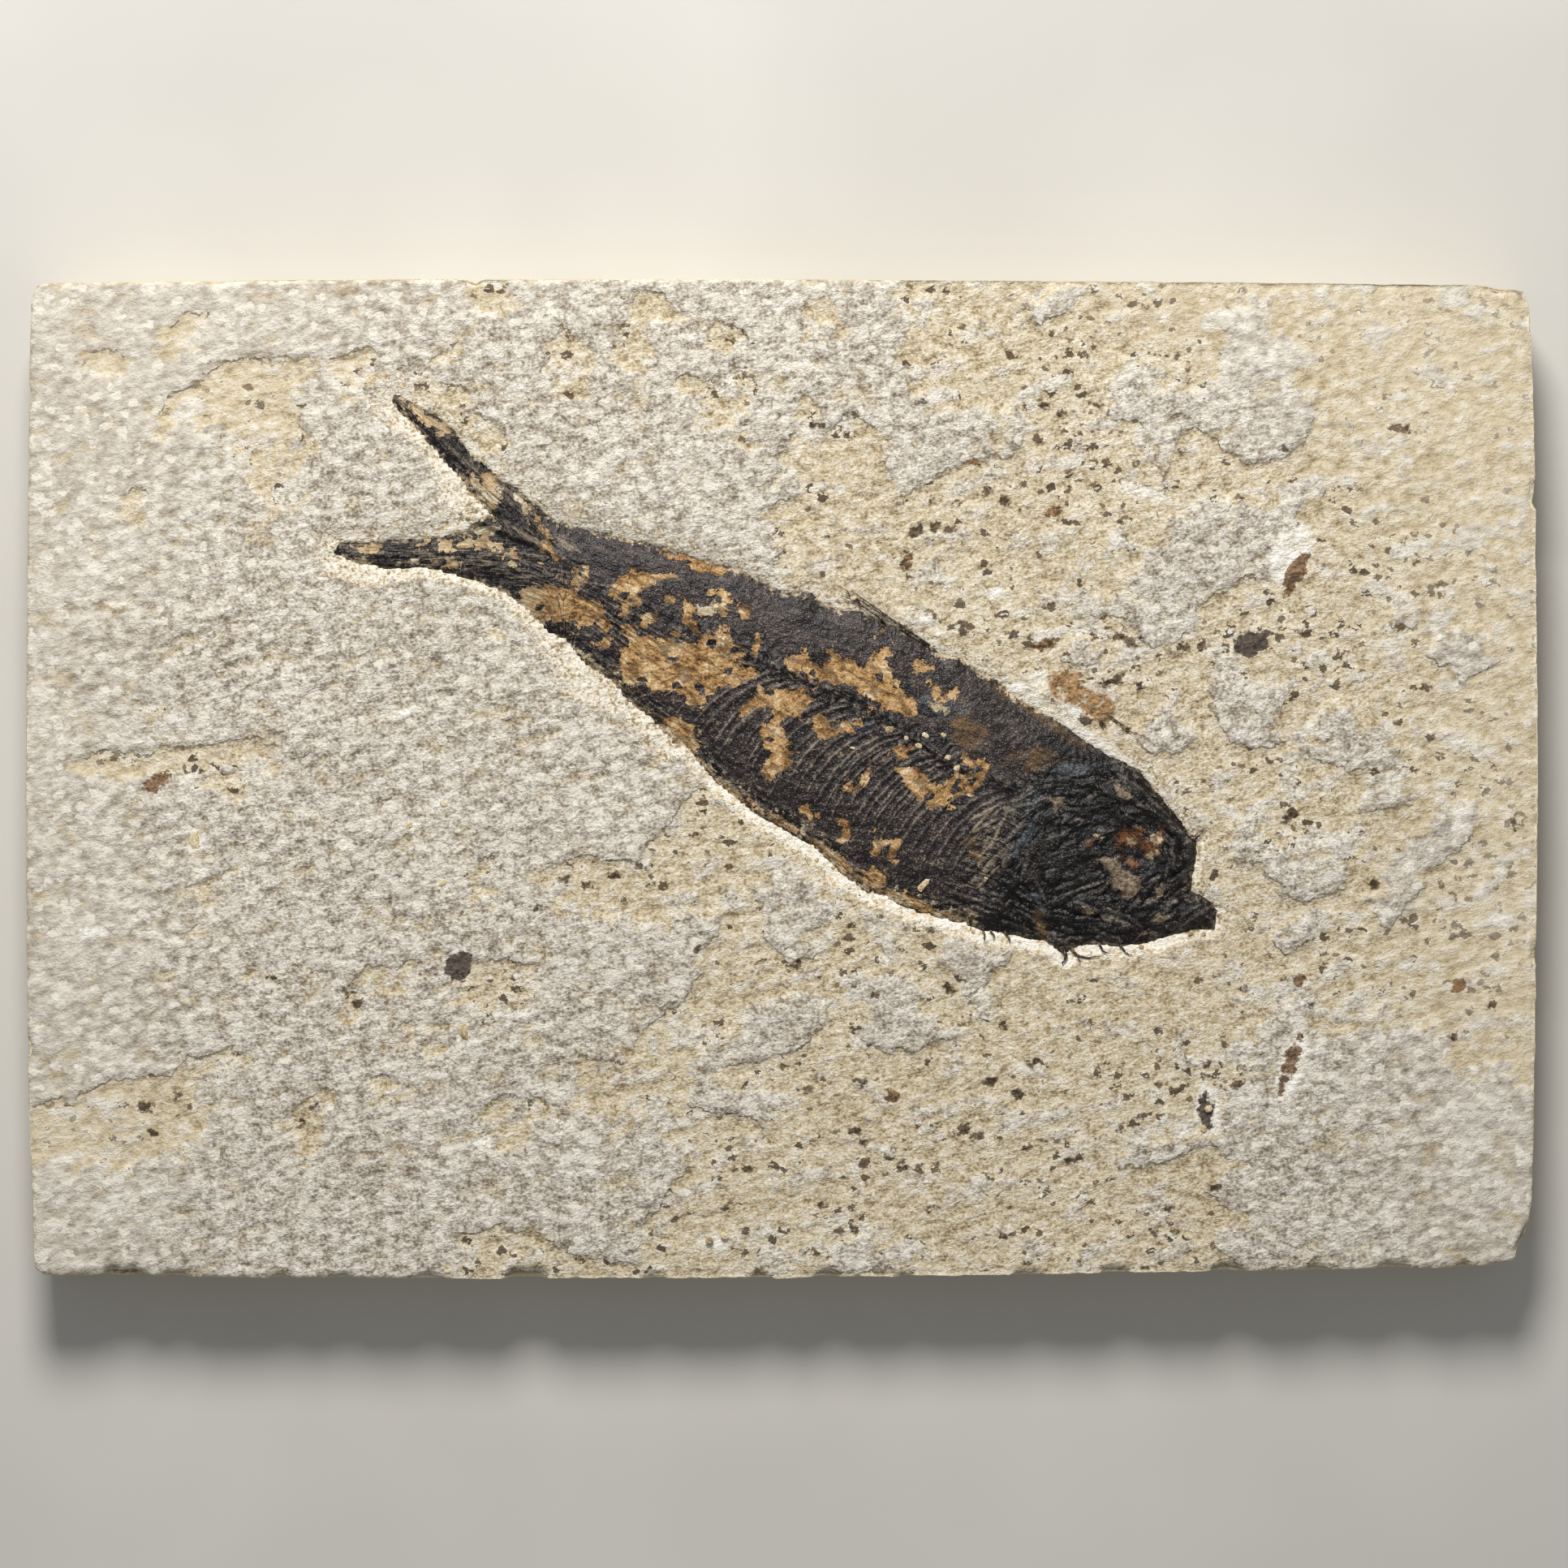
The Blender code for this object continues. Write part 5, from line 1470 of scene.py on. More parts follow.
    def surface(self, x: Array, y: Array, gap: Array) -> tuple[dict[str, Array], Array]:
        """Work out the relief and the colour fields of the crust.

        Args:
            x: places along X.
            y: places along Y.
            gap: signed distance to the outline.

        Returns:
            One array for each named field, and the rise over the bare crust.
        """
        s, t = self.shape.axes(x, y)
        spine = against_line(self.shape.spine, x, y)
        belly = np.interp(s, *np.array(self.belly_line).T)
        is_back = soft_step(-0.2, 0.9, spine.side) * soft_step(-25.0, -20.0, x) * soft_step(27.0, 23.0, s)
        is_head = soft_step(25.0, 27.5, s + 0.12 * t)
        is_tail = soft_step(-20.0, -24.0, x)
        phase = self.rib_phase(s, t)
        last = (self.last_rib - self.first_rib) / self.rib_pitch
        is_ribs = soft_step(0.1, -0.9, spine.side) * soft_step(-0.5, 1.5, phase)
        is_ribs = is_ribs * soft_step(last + 0.5, last - 1.0, phase)
        is_ribs = is_ribs * soft_step(1.2, 3.0, t - belly + 0.8 * FISH_NOISE.hills(x, y, 3.0))
        bed = SplinterBed()
        splinters = bed.cover(bed.strands(), x, y)
        ribs = bed.cover(self.rib_strands(), x, y)
        on_ribs = soft_step(0.05, 0.5, is_ribs)
        rib_profile = ribs.profile * on_ribs
        plate, bone = (self.gap_to(patches, x, y) for patches in (PLATE_PATCHES, SHEENED_BONE_PATCHES))
        smooth_gap = np.minimum(plate, bone)
        covered = (splinters.level >= 0.0) & (smooth_gap > 0.0)
        fibres = self.fibres(x, y)
        strands = self.strands(fibres, x, y)
        backbone = self.backbone(x, y)
        head = self.head_rise(x, y) * is_head
        ochre = self.gap_to(OCHRE_PATCHES, x, y)
        grain, _ = FISH_NOISE.grains(x, y, 0.6)
        kept_black = 0.5 - spine.distance + 0.6 * FISH_NOISE.layered(x, y, 1.2, 3)
        kept_black = kept_black - 2.0 * (1.0 - soft_step(-9.0, -5.0, s) * soft_step(23.0, 19.0, s))
        ochre = np.maximum(ochre, np.minimum(kept_black, 0.5))
        film = soft_step(-0.12, 0.12, ochre)
        depth = np.minimum(-gap / 0.6, 1.0)
        rise = (
            0.09 * rib_profile * mix(0.4, 1.0, film) + 0.14 * backbone + head
            + covered * (0.11 * splinters.profile + 0.09 * splinters.level) * (0.7 + 0.6 * is_head)
            + 0.12 * soft_step(0.05, -0.25, smooth_gap)
            + strands * (0.05 - 0.03 * is_head - 0.03 * is_back) * (1.0 - is_ribs)
            + 0.10 * FISH_NOISE.layered(x, y, 5.0, 3) + 0.05 * FISH_NOISE.hills(x, y, 1.3)
            + 0.05 * (0.5 - grain) * (1.0 + is_head) - 0.07 * (1.0 - film)
        ) * mix(0.35, 1.0, depth)
        rib_tone = (1.0 - covered) * 0.3 * (ribs.tone - 0.5) * (rib_profile > 0)
        # Dark film on the head, the tail and the backbone; under each splinter and rib, painted shade that
        # deepens toward its edges and into the gaps
        cracks = np.maximum(0.5 * is_head + 0.35 * is_tail, 0.8 * np.minimum(2.0 * backbone, 1.0))
        cracks = np.where(covered, soft_step(0.6, 0.15, splinters.profile),
                          cracks * soft_step(-0.1, 0.1, smooth_gap))
        rib_flank_shade = np.where(rib_profile > 0, soft_step(0.75, 0.15, ribs.profile), 0.0) * on_ribs
        light = covered * splinters.lit * mix(0.75, 0.6, is_tail) * mix(1.0, 0.55, is_head)
        rib_light = ribs.lit * on_ribs * mix(1.0, 0.55, soft_step(11.0, 16.0, x))
        along_back = soft_step(0.5, -1.0, spine.side) * (1.0 - is_head) * (1.0 - is_tail)
        fields = {
            "ochre": ochre,
            "umber": self.gap_to(UMBER_PATCHES, x, y),
            "pale": self.gap_to(PALE_PATCHES, x, y),
            "rust": self.gap_to(RUST_PATCHES, x, y),
            "bone": bone,
            "plate": plate,
            "fibres": fibres,
            "ribbed": is_ribs,
            "tone": 0.5 + covered * (splinters.tone - 0.5) + rib_tone,
            "gaps": np.maximum(cracks, rib_flank_shade),
            "lit": np.maximum(light, rib_light),
            "sheen": np.clip(is_back * (1.0 - backbone) + 0.2 * is_tail, 0.0, 1.0),
            "spine": backbone,
            "head": is_head,
            "tail": soft_step(-22.5, -27.0, x),
            "rim": gap * mix(1.0, 0.42, along_back),
        }
        return fields, rise

    def close(self, spots: Array, quads: Array, fields: dict[str, Array]) -> Thing:
        """Add walls and a flat underside to the crust, so that it is one solid.

        Args:
            spots: the crust's points.
            quads: the crust's faces.
            fields: one array for each named field, over the crust's points.

        Returns:
            The fish's object.
        """
        edges = set(zip(quads.ravel().tolist(), np.roll(quads, -1, axis=1).ravel().tolist()))
        onward = {start: end for start, end in edges if (end, start) not in edges}
        loop = [min(onward)]
        while onward[loop[-1]] != loop[0]:
            loop.append(onward[loop[-1]])
        base = spots[loop].copy()
        base[:, 2] = self.underside
        first = len(spots)
        lower = list(range(first, first + len(loop)))
        faces = [tuple(quad) for quad in quads]
        for index, (start, foot) in enumerate(zip(loop, lower)):
            after = (index + 1) % len(loop)
            faces.append((start, foot, lower[after], loop[after]))
        faces.append(tuple(reversed(lower)))
        all_fields = {name: np.concatenate([values, values[loop]]) for name, values in fields.items()}
        return mesh_from("carbonised_fish", np.concatenate([spots, base]), faces, all_fields)


@dataclass(frozen=True)
class LooseCrumbs:
    """Chalk crumbs and stone grains left by the needle round the fish, and flakes lying on the plate."""

    shape: FishShape = FishShape()
    scattered: int = 120
    seed: int = 23
    tries: int = 9000
    # Where crumbs are scattered, before those too far from the fish are dropped
    reach_x: Pair = (-47.0, 46.0)
    reach_y: Pair = (-20.0, 41.0)
    # A crumb's middle over its seat, and that seat over the face for a crumb beside the fish
    over_seat: float = 0.1
    seat_beside: float = -0.2
    # A crumb's middle over the face, on the plate and in the scraped margin
    over_face: float = 0.02
    in_margin: float = -0.38
    # The white flake lying over the belly's edge: middle, length, width, height, and degrees turned
    white_flake: tuple[float, ...] = (14.2, -10.7, 2.1, 0.75, 0.3, 42.0)
    # Named crumbs: middle, length, width and height
    on_fish: tuple[tuple[float, ...], ...] = (
        (10.8, 5.0, 1.1, 0.9, 0.4), (12.5, 4.1, 0.6, 0.7, 0.3), (13.7, 3.3, 0.8, 0.7, 0.3),
        (14.4, 4.4, 0.9, 0.5, 0.25), (15.4, 2.5, 0.7, 0.5, 0.25), (16.6, 2.1, 0.9, 0.8, 0.4),
        (17.5, 1.1, 0.8, 0.9, 0.35), (16.2, 4.4, 0.7, 0.5, 0.25), (-13.1, 19.8, 0.6, 0.9, 0.3),
        (31.9, -5.7, 1.5, 0.8, 0.4), (20.5, -10.0, 0.5, 0.4, 0.25), (7.1, 3.1, 0.7, 0.3, 0.2),
        (15.8, 7.1, 0.6, 0.4, 0.15), (-31.6, 26.4, 0.6, 0.5, 0.25), (-30.8, 27.2, 0.5, 0.4, 0.25),
        (-32.4, 26.9, 0.5, 0.5, 0.25), (-30.2, 26.0, 0.4, 0.4, 0.2), (7.2, 18.2, 0.8, 0.6, 0.4),
    )
    on_plate: tuple[tuple[float, ...], ...] = (
        (-32.0, -25.4, 1.0, 2.0, 0.45), (-7.3, -46.5, 0.9, 0.8, 0.4), (-5.8, -46.0, 1.1, 0.8, 0.4),
        (-59.1, -6.2, 1.3, 1.9, 0.35), (42.9, -33.2, 0.9, 0.8, 0.35), (42.4, -35.2, 0.9, 0.9, 0.35),
        (-37.5, -4.7, 1.1, 0.8, 0.25), (-34.0, -2.5, 1.0, 0.7, 0.25), (-34.1, -10.5, 1.1, 0.8, 0.25),
    )

    def lump(self, middle: Triple, size: Triple, turn: float,
             rng: np.random.Generator) -> tuple[Array, Array]:
        """One uneven crumb, as points and triangles.

        Args:
            middle: the crumb's middle.
            size: its length, width and height.
            turn: radians that its length is turned from +X.
            rng: where its unevenness comes from.

        Returns:
            Its points and its triangles.
        """
        golden = (1 + math.sqrt(5)) / 2
        rectangle = np.array([(-1, golden, 0), (1, golden, 0), (-1, -golden, 0), (1, -golden, 0)])
        corners = np.concatenate([np.roll(rectangle, shift, axis=1) for shift in range(3)])
        corners = corners / np.linalg.norm(corners[0]) * rng.uniform(0.78, 1.18, (12, 1))
        spots = corners * np.array(size) / 2
        spots = np.stack([*turned(spots[:, 0], spots[:, 1], turn), spots[:, 2]], axis=-1)
        triangles = np.array([
            (0, 11, 5), (0, 5, 1), (0, 1, 7), (0, 7, 10), (0, 10, 11), (1, 5, 9), (5, 11, 4), (11, 10, 2),
            (10, 7, 6), (7, 1, 8), (3, 9, 4), (3, 4, 2), (3, 2, 6), (3, 6, 8), (3, 8, 9), (4, 9, 5),
            (2, 4, 11), (6, 2, 10), (8, 6, 7), (9, 8, 1),
        ])
        return spots + np.array(middle), triangles

    def build(self) -> Thing:
        """Build every crumb as one mesh.

        Returns:
            The crumbs' object.
        """
        rng = np.random.default_rng(self.seed)
        seats: list[tuple[float, ...]] = []
        flakes = [(*crumb, float(rng.uniform(-40.0, 40.0))) for crumb in self.on_fish]
        for x, y, length, width, height, turn in (*flakes, self.white_flake):
            gap = self.shape.gap(np.array([x]), np.array([y]))
            seat = float(self.shape.crust(gap)[0]) if gap[0] < 0 else FACE_HEIGHT + self.seat_beside
            seats.append((x, y, seat + self.over_seat, length, width, height, math.radians(turn)))
        for crumb in self.on_plate:
            turn = float(rng.uniform(-0.5, 0.5))
            seats.append((*crumb[:2], FACE_HEIGHT + self.over_face, *crumb[2:], turn))
        tries_x = rng.uniform(*self.reach_x, self.tries)
        tries_y = rng.uniform(*self.reach_y, self.tries)
        gap = self.shape.gap(tries_x, tries_y)
        belly = ROCK_NOISE.hills(tries_x, tries_y, 6.0)
        wanted = (gap > 0.05) & (gap < 1.7 + belly) & (rng.random(self.tries) < 0.9 - 0.35 * gap)
        for x, y in zip(tries_x[wanted][:self.scattered], tries_y[wanted][:self.scattered]):
            size = float(rng.uniform(0.18, 0.5))
            turn = float(rng.uniform(-1.5, 1.5))
            spot = (float(x), float(y), FACE_HEIGHT + self.in_margin)
            seats.append((*spot, size * 1.4, size, size * 0.6, turn))
        all_spots, all_faces, count = [], [], 0
        for x, y, z, length, width, height, turn in seats:
            spots, triangles = self.lump((x, y, z), (length, width, height), turn, rng)
            all_spots.append(spots)
            all_faces.append(triangles + count)
            count += len(spots)
        return mesh_from("chalk_crumbs", np.concatenate(all_spots), np.concatenate(all_faces), smooth=False)


@dataclass(frozen=True)
class FinSpines:
    """Thin dark spines that stick out past the outline: dorsal fin, throat bristles, belly scutes."""

    # Each spine: its points, with the height over the plate's back, and its width at the root
    courses: tuple[tuple[tuple[Triple, ...], float], ...] = (
        (((14.9, 13.4, 9.35), (12.0, 15.5, 9.42), (9.2, 17.1, 9.46), (6.4, 18.8, 9.48)), 0.30),
        (((12.8, 14.6, 9.3), (10.4, 16.5, 9.42), (8.6, 17.8, 9.46), (7.0, 18.9, 9.48)), 0.24),
        (((10.4, 15.8, 9.25), (8.8, 16.9, 9.4), (7.2, 18.0, 9.46), (5.9, 18.5, 9.5)), 0.26),
        (((8.0, 17.6, 9.35), (6.8, 18.6, 9.45), (6.2, 19.2, 9.5)), 0.20),
        (((20.2, -15.0, 9.2), (20.4, -15.8, 9.3), (20.3, -16.3, 9.4)), 0.30),
        (((20.9, -15.2, 9.2), (21.4, -15.8, 9.3), (21.2, -16.2, 9.4)), 0.22),
        (((22.4, -15.3, 9.2), (22.9, -16.1, 9.3), (22.9, -16.5, 9.4)), 0.28),
        (((28.1, -16.8, 9.2), (28.6, -17.8, 9.3), (28.2, -18.6, 9.4)), 0.55),
        (((28.9, -16.8, 9.2), (29.6, -17.6, 9.3), (30.0, -18.4, 9.4)), 0.34),
        (((29.4, -17.6, 9.3), (30.6, -18.0, 9.38), (32.0, -17.8, 9.42)), 0.26),
        (((31.9, -16.5, 9.2), (32.3, -17.3, 9.3), (33.0, -17.6, 9.4)), 0.26),
        (((34.0, -16.7, 9.2), (34.6, -17.5, 9.3), (35.3, -17.8, 9.4)), 0.28),
        (((40.6, -5.4, 9.25), (41.4, -6.0, 9.36), (42.2, -5.5, 9.42), (42.4, -5.0, 9.45)), 0.34),
        (((32.6, 6.7, 9.5), (34.2, 5.4, 9.5), (35.6, 4.4, 9.5)), 0.18),
    )
    sides: int = 6
    steps: int = 10
    crookedness: float = 0.04
    seed: int = 3

    def build(self) -> Thing:
        """Build every spine as one mesh of tapered, slightly crooked rods.

        Returns:
            The spines' object.
        """
        rng = np.random.default_rng(self.seed)
        crook = self.crookedness
        spots, faces = [], []
        for course, width in self.courses:
            points = [Vector(point) for point in course]
            rings = []
            for step in range(self.steps + 1):
                place = step / self.steps * (len(points) - 1)
                index = min(int(place), len(points) - 2)
                middle = points[index].lerp(points[index + 1], place - index)
                middle = middle + Vector((rng.uniform(-crook, crook), rng.uniform(-crook, crook), 0.0))
                direction = (points[index + 1] - points[index]).normalized()
                side = direction.cross(Vector((0.0, 0.0, 1.0))).normalized()
                half = width / 2 * (1.0 - 0.75 * step / self.steps) * rng.uniform(0.85, 1.15)
                ring = []
                for corner in range(self.sides):
                    angle = 2 * math.pi * corner / self.sides
                    lift = Vector((0, 0, 0.7 * half * math.sin(angle)))
                    ring.append(len(spots))
                    spots.append(tuple(middle + side * (half * math.cos(angle)) + lift))
                rings.append(ring)
            for lower, upper in zip(rings, rings[1:]):
                for corner in range(self.sides):
                    after = (corner + 1) % self.sides
                    faces.append((lower[corner], lower[after], upper[after], upper[corner]))
            faces.append(tuple(reversed(rings[0])))
            faces.append(tuple(rings[-1]))
        return mesh_from("fin_spines", np.array(spots), faces)


class Finish:
    """What every finish shares: a new material with its shader, places in millimetres and fields."""

    def start(self, name: str) -> None:
        """Make the material and the nodes that each finish begins with.

        Args:
            name: the material's name.
        """
        self.material = bpy.data.materials.new(name)
        self.material.use_nodes = True
        self.tree = self.material.node_tree
        self.shader = self.tree.nodes["Principled BSDF"]
        spot = add_node(self.tree, "ShaderNodeTexCoord")
        scaled = add_node(self.tree, "ShaderNodeMapping", {"Scale": (1000.0, 1000.0, 1000.0)},
                          {"Vector": spot.outputs["Object"]})
        self.place = scaled.outputs["Vector"]
        self.colour: Any = None

    def node(self, kind: str, settings: dict[Any, Any] | None = None,
             links: dict[Any, Any] | None = None) -> bpy.types.Node:
        """Add one node to this finish's material."""
        return add_node(self.tree, kind, settings, links)

    def field(self, name: str) -> Socket:
        """Read one of the mesh's fields."""
        return self.node("ShaderNodeAttribute", {"attribute_name": name}).outputs["Fac"]

    def stretched(self, stretch: Triple, place: Socket | None, turn: float = 0.0) -> Socket:
        """Measure places in waves.

        Args:
            stretch: the length of a wave along each axis, in millimetres.
            place: what is measured; left out, places on the object.
            turn: degrees that the axes are turned about +Z.

        Returns:
            The places in waves.
        """
        links = {"Vector": place or self.place}
        if turn:
            turned = self.node("ShaderNodeMapping", {"Rotation": (0.0, 0.0, math.radians(-turn))}, links)
            links = {"Vector": turned.outputs["Vector"]}
        scale = tuple(1.0 / part for part in stretch)
        return self.node("ShaderNodeMapping", {"Scale": scale}, links).outputs["Vector"]

    def noise(self, wave: Triple, detail: float = 2.0, rough: float = 0.55, flat: bool = True,
              place: Socket | None = None, turn: float = 0.0) -> Socket:
        """Noise from 0 to 1 about a half.

        Args:
            wave: distance between hills along each axis, in millimetres.
            detail: how many finer octaves are added.
            rough: height of each octave against the one before.
            flat: whether it varies along X and Y alone.
            place: where it is measured; left out, on the object.
            turn: degrees that its axes are turned.

        Returns:
            The noise.
        """
        settings = {"noise_dimensions": "2D" if flat else "3D", "Scale": 1.0, "Detail": detail,
                    "Roughness": rough}
        links = {"Vector": self.stretched(wave, place, turn)}
        return self.node("ShaderNodeTexNoise", settings, links).outputs["Fac"]

    def cells(self, wave: Triple, place: Socket | None = None) -> tuple[Socket, bpy.types.Node]:
        """Scattered cells.

        Args:
            wave: distance between cells along each axis, in millimetres.
            place: where they are measured; left out, on the object.

        Returns:
            The distance from each cell's middle, in waves, and a node with three numbers of its own.
        """
        settings = {"voronoi_dimensions": "2D", "feature": "F1", "Scale": 1.0}
        texture = self.node("ShaderNodeTexVoronoi", settings, {"Vector": self.stretched(wave, place)})
        own = self.node("ShaderNodeSeparateColor", {}, {"Color": texture.outputs["Color"]})
        return texture.outputs["Distance"], own

    def maths(self, operation: str, *inputs: Any) -> Socket:
        """Work out one number.

        Args:
            operation: what the node does.
            *inputs: sockets or plain numbers, in the node's order.

        Returns:
            The number.
        """
        settings = {i: value for i, value in enumerate(inputs) if isinstance(value, (int, float))}
        links = {i: value for i, value in enumerate(inputs) if not isinstance(value, (int, float))}
        return self.node("ShaderNodeMath", {"operation": operation, **settings}, links).outputs[0]

    def times(self, *parts: Any) -> Socket:
        """Multiply several numbers.

        Args:
            *parts: sockets or plain numbers.

        Returns:
            The product.
        """
        product = parts[0]
        for part in parts[1:]:
            product = self.maths("MULTIPLY", product, part)
        return product

    def step(self, value: Socket, low: float, high: float, start: float = 0.0, end: float = 1.0) -> Socket:
        """Go smoothly from one number to another as a value rises.

        Args:
            value: what is measured.
            low: value where the change starts; it may be above high, for the other way round.
            high: value where the change ends.
            start: the number at low.
            end: the number at high.

        Returns:
            The number.
        """
        settings = {"interpolation_type": "SMOOTHSTEP", "From Min": low, "From Max": high, "To Min": start,
                    "To Max": end}
        return self.node("ShaderNodeMapRange", settings, {"Value": value}).outputs["Result"]

    def between(self, share: Socket, start: float, end: float) -> Socket:
        """Go smoothly from start to end as a share goes from 0 to 1."""
        return self.step(share, 0.0, 1.0, start, end)

    def band(self, value: Socket, middle: float, half: float, end: float = 1.0) -> Socket:
        """Rise to end where a number is at the middle, from nothing at half a band's width away."""
        away = self.maths("ABSOLUTE", self.maths("SUBTRACT", value, middle))
        return self.step(away, half, 0.3 * half, 0.0, end)

    def ragged(self, value: Any, noise: Socket, size: Any) -> Socket:
        """Shift a number up and down with noise that lies about a half."""
        return self.maths("MULTIPLY_ADD", self.maths("SUBTRACT", noise, 0.5), size, value)

    def ramp(self, value: Socket, *stops: tuple[float, str]) -> Socket:
        """Turn a number to a colour between named stops."""
        pairs = [(place, paint(code)) for place, code in stops]
        return self.node("ShaderNodeValToRGB", {"stops": pairs}, {"Fac": value}).outputs["Color"]

    def blend(self, low: Any, high: Any, share: Any) -> Socket:
        """Lay one colour over another.

        Args:
            low: the colour below, as a socket or a hex code.
            high: the colour on top, as a socket or a hex code.
            share: how much of the upper one shows, as a socket or a number.

        Returns:
            The blended colour.
        """
        settings: dict[Any, Any] = {"data_type": "RGBA"}
        links: dict[Any, Any] = {}
        for socket, value in ((MIX_FACTOR, share), (MIX_LOW, low), (MIX_HIGH, high)):
            if isinstance(value, str):
                settings[socket] = paint(value)
            elif isinstance(value, (int, float)):
                settings[socket] = value
            else:
                links[socket] = value
        return self.node("ShaderNodeMix", settings, links).outputs[MIX_RESULT]

    def relief(self, height: Socket) -> None:
        """Bump the surface by a height in millimetres."""
        bump = self.node("ShaderNodeBump", {"Distance": MM, "Strength": 1.0}, {"Height": height})
        self.tree.links.new(bump.outputs["Normal"], self.shader.inputs["Normal"])

    def total(self, *parts: tuple[Socket, float]) -> Socket:
        """Add up sockets, each times its own weight.

        Args:
            *parts: pairs of a socket and its weight.

        Returns:
            The sum.
        """
        running: Any = 0.0
        for socket, weight in parts:
            running = self.maths("MULTIPLY_ADD", socket, weight, running)
        return running

    def lay(self, over: Any, share: Any) -> None:
        """Lay a colour over what is there so far by a share."""
        self.colour = self.blend(self.colour, over, share)

    def wear(self, rough: Any, gloss: float) -> None:
        """Join up the colour, and set the roughness and the gloss.

        Args:
            rough: the roughness, as a socket or a number.
            gloss: the shader's specular level.
        """
        self.tree.links.new(self.colour, self.shader.inputs["Base Color"])
        if isinstance(rough, float):
            self.shader.inputs["Roughness"].default_value = rough
        else:
            self.tree.links.new(rough, self.shader.inputs["Roughness"])
        self.shader.inputs["IOR"].default_value = 1.5
        self.shader.inputs["Specular IOR Level"].default_value = gloss


class SplitLimestone(Finish):
    """Laminated lake limestone, split along its bedding.

    The face is matt and sugary: calcite grains 0.2 to 0.4 mm wide, in mottles a few millimetres long,
    grey where the upper lamina stands, honey-coloured with brown specks where it has flaked off. Torn
    paper-thin laminae leave little ledges. The needle leaves crumbly cream chalk round the fish.
    """

    def make(self) -> bpy.types.Material:
        """Build the material.

        Returns:
            The material.
        """
        self.start("split_laminated_limestone")
        facing, calm = self.field("facing"), self.field("calm")
        # Noises, each with the distance between its hills in millimetres
        edge = self.noise((1.1, 1.0, 1.0), 3.0, 0.66)
        streak = self.noise((1.5, 0.9, 1.0), 3.0, 0.62, turn=14.0)
        grain = self.noise((0.36, 0.32, 1.0), 1.0, 0.6)
        broad = self.noise((13.0, 9.0, 1.0), 2.0)
        leaf = self.noise((4.4, 2.7, 1.0), 4.0, 0.62, turn=12.0)
        fleck, fleck_own = self.cells((1.35, 1.05, 1.0))
        # Mottling, softer and more even toward the rim
        stuff = self.total((streak, 0.40), (grain, 0.30), (edge, 0.14), (leaf, 0.12), (broad, 0.08))
        stuff = self.maths("ADD", stuff, -0.02)
        softer = self.total((streak, 0.56), (leaf, 0.30), (broad, 0.14))
        softened = self.maths("SUBTRACT", softer, stuff)
        stuff = self.maths("MULTIPLY_ADD", softened, self.step(calm, 0.05, 0.75), stuff)
        evened = self.maths("MULTIPLY_ADD", self.maths("SUBTRACT", stuff, 0.5),
                            self.between(calm, 1.0, 0.46), self.between(calm, 0.5, 0.516))
        grey = self.ramp(evened, (0.37, "#7c7163"), (0.44, "#a89d8d"), (0.50, "#c8bfb1"), (0.55, "#dcd5c7"),
                         (0.63, "#f5efe3"))
        tan = self.ramp(evened, (0.37, "#958164"), (0.44, "#c1b08f"), (0.50, "#d6c7a9"), (0.56, "#e4d8bf"),
                        (0.64, "#f5ebd8"))
        # The grey upper lamina, with a crisp ragged edge where light falls on it and a feathered one below
        soft = self.step(facing, -0.4, 0.5)
        lamina = self.ragged(self.field("lamina"), leaf, self.maths("MULTIPLY_ADD", soft, -14.0, 15.5))
        lamina = self.ragged(lamina, edge, self.maths("MULTIPLY_ADD", soft, -5.5, 6.5))
        stands = self.step(lamina, -0.22, 0.22)
        thin = self.step(leaf, 0.40, 0.37, 1.0, 0.45)
        left_over = self.step(leaf, 0.575, 0.61, 0.0, 0.75)
        grey_share = self.maths("MAXIMUM", self.times(stands, thin), left_over)
        grey_share = self.step(self.ragged(grey_share, broad, 0.5), 0.0, 1.0)
        self.colour = self.blend(tan, grey, grey_share)
        tan_share = self.maths("SUBTRACT", 1.0, grey_share)
        # White flecks and brown specks
        fleck_size = self.ragged(self.ragged(fleck, edge, 1.5), grain, 0.3)
        white = self.times(self.step(fleck_size, 0.44, 0.30), self.step(fleck_own.outputs[2], 0.60, 0.74),
                           self.between(tan_share, 0.75, 0.35))
        self.lay("#f2ecdf", white)
        often = self.step(self.ragged(broad, leaf, 1.5), 0.43, 0.66, 0.02, 0.60)
        speck_reach = self.maths("MULTIPLY_ADD", fleck_own.outputs[1], 0.30, 0.12)
        speck_size = self.maths("SUBTRACT", fleck_size, speck_reach)
        speck = self.times(self.maths("LESS_THAN", fleck_own.outputs[0], often),
                           self.step(speck_size, 0.06, -0.05), self.step(tan_share, 0.2, 1.0, 0.08, 0.90))
        speck = self.times(speck, self.step(calm, 0.2, 1.0, 1.0, 0.55))
        speck_colour = self.ramp(fleck_own.outputs[1], (0.0, "#85735a"), (0.5, "#63513b"), (1.0, "#403225"))
        self.lay(speck_colour, speck)
        # Terraces of paper-thin laminae, with a brown line painted along some of their steps as the shade of
        # each step
        leaf_steps = self.maths("MULTIPLY", leaf, 17.0)
        leaf_part = self.maths("FRACT", leaf_steps)
        terrace = self.maths("ADD", self.maths("FLOOR", leaf_steps), self.step(leaf_part, 0.80, 1.0))
        step_shade_line = self.times(self.band(leaf_part, 0.90, 0.10), self.step(edge, 0.46, 0.58),
                          self.between(tan_share, 0.12, 0.34))
        self.lay("#84714f", step_shade_line)
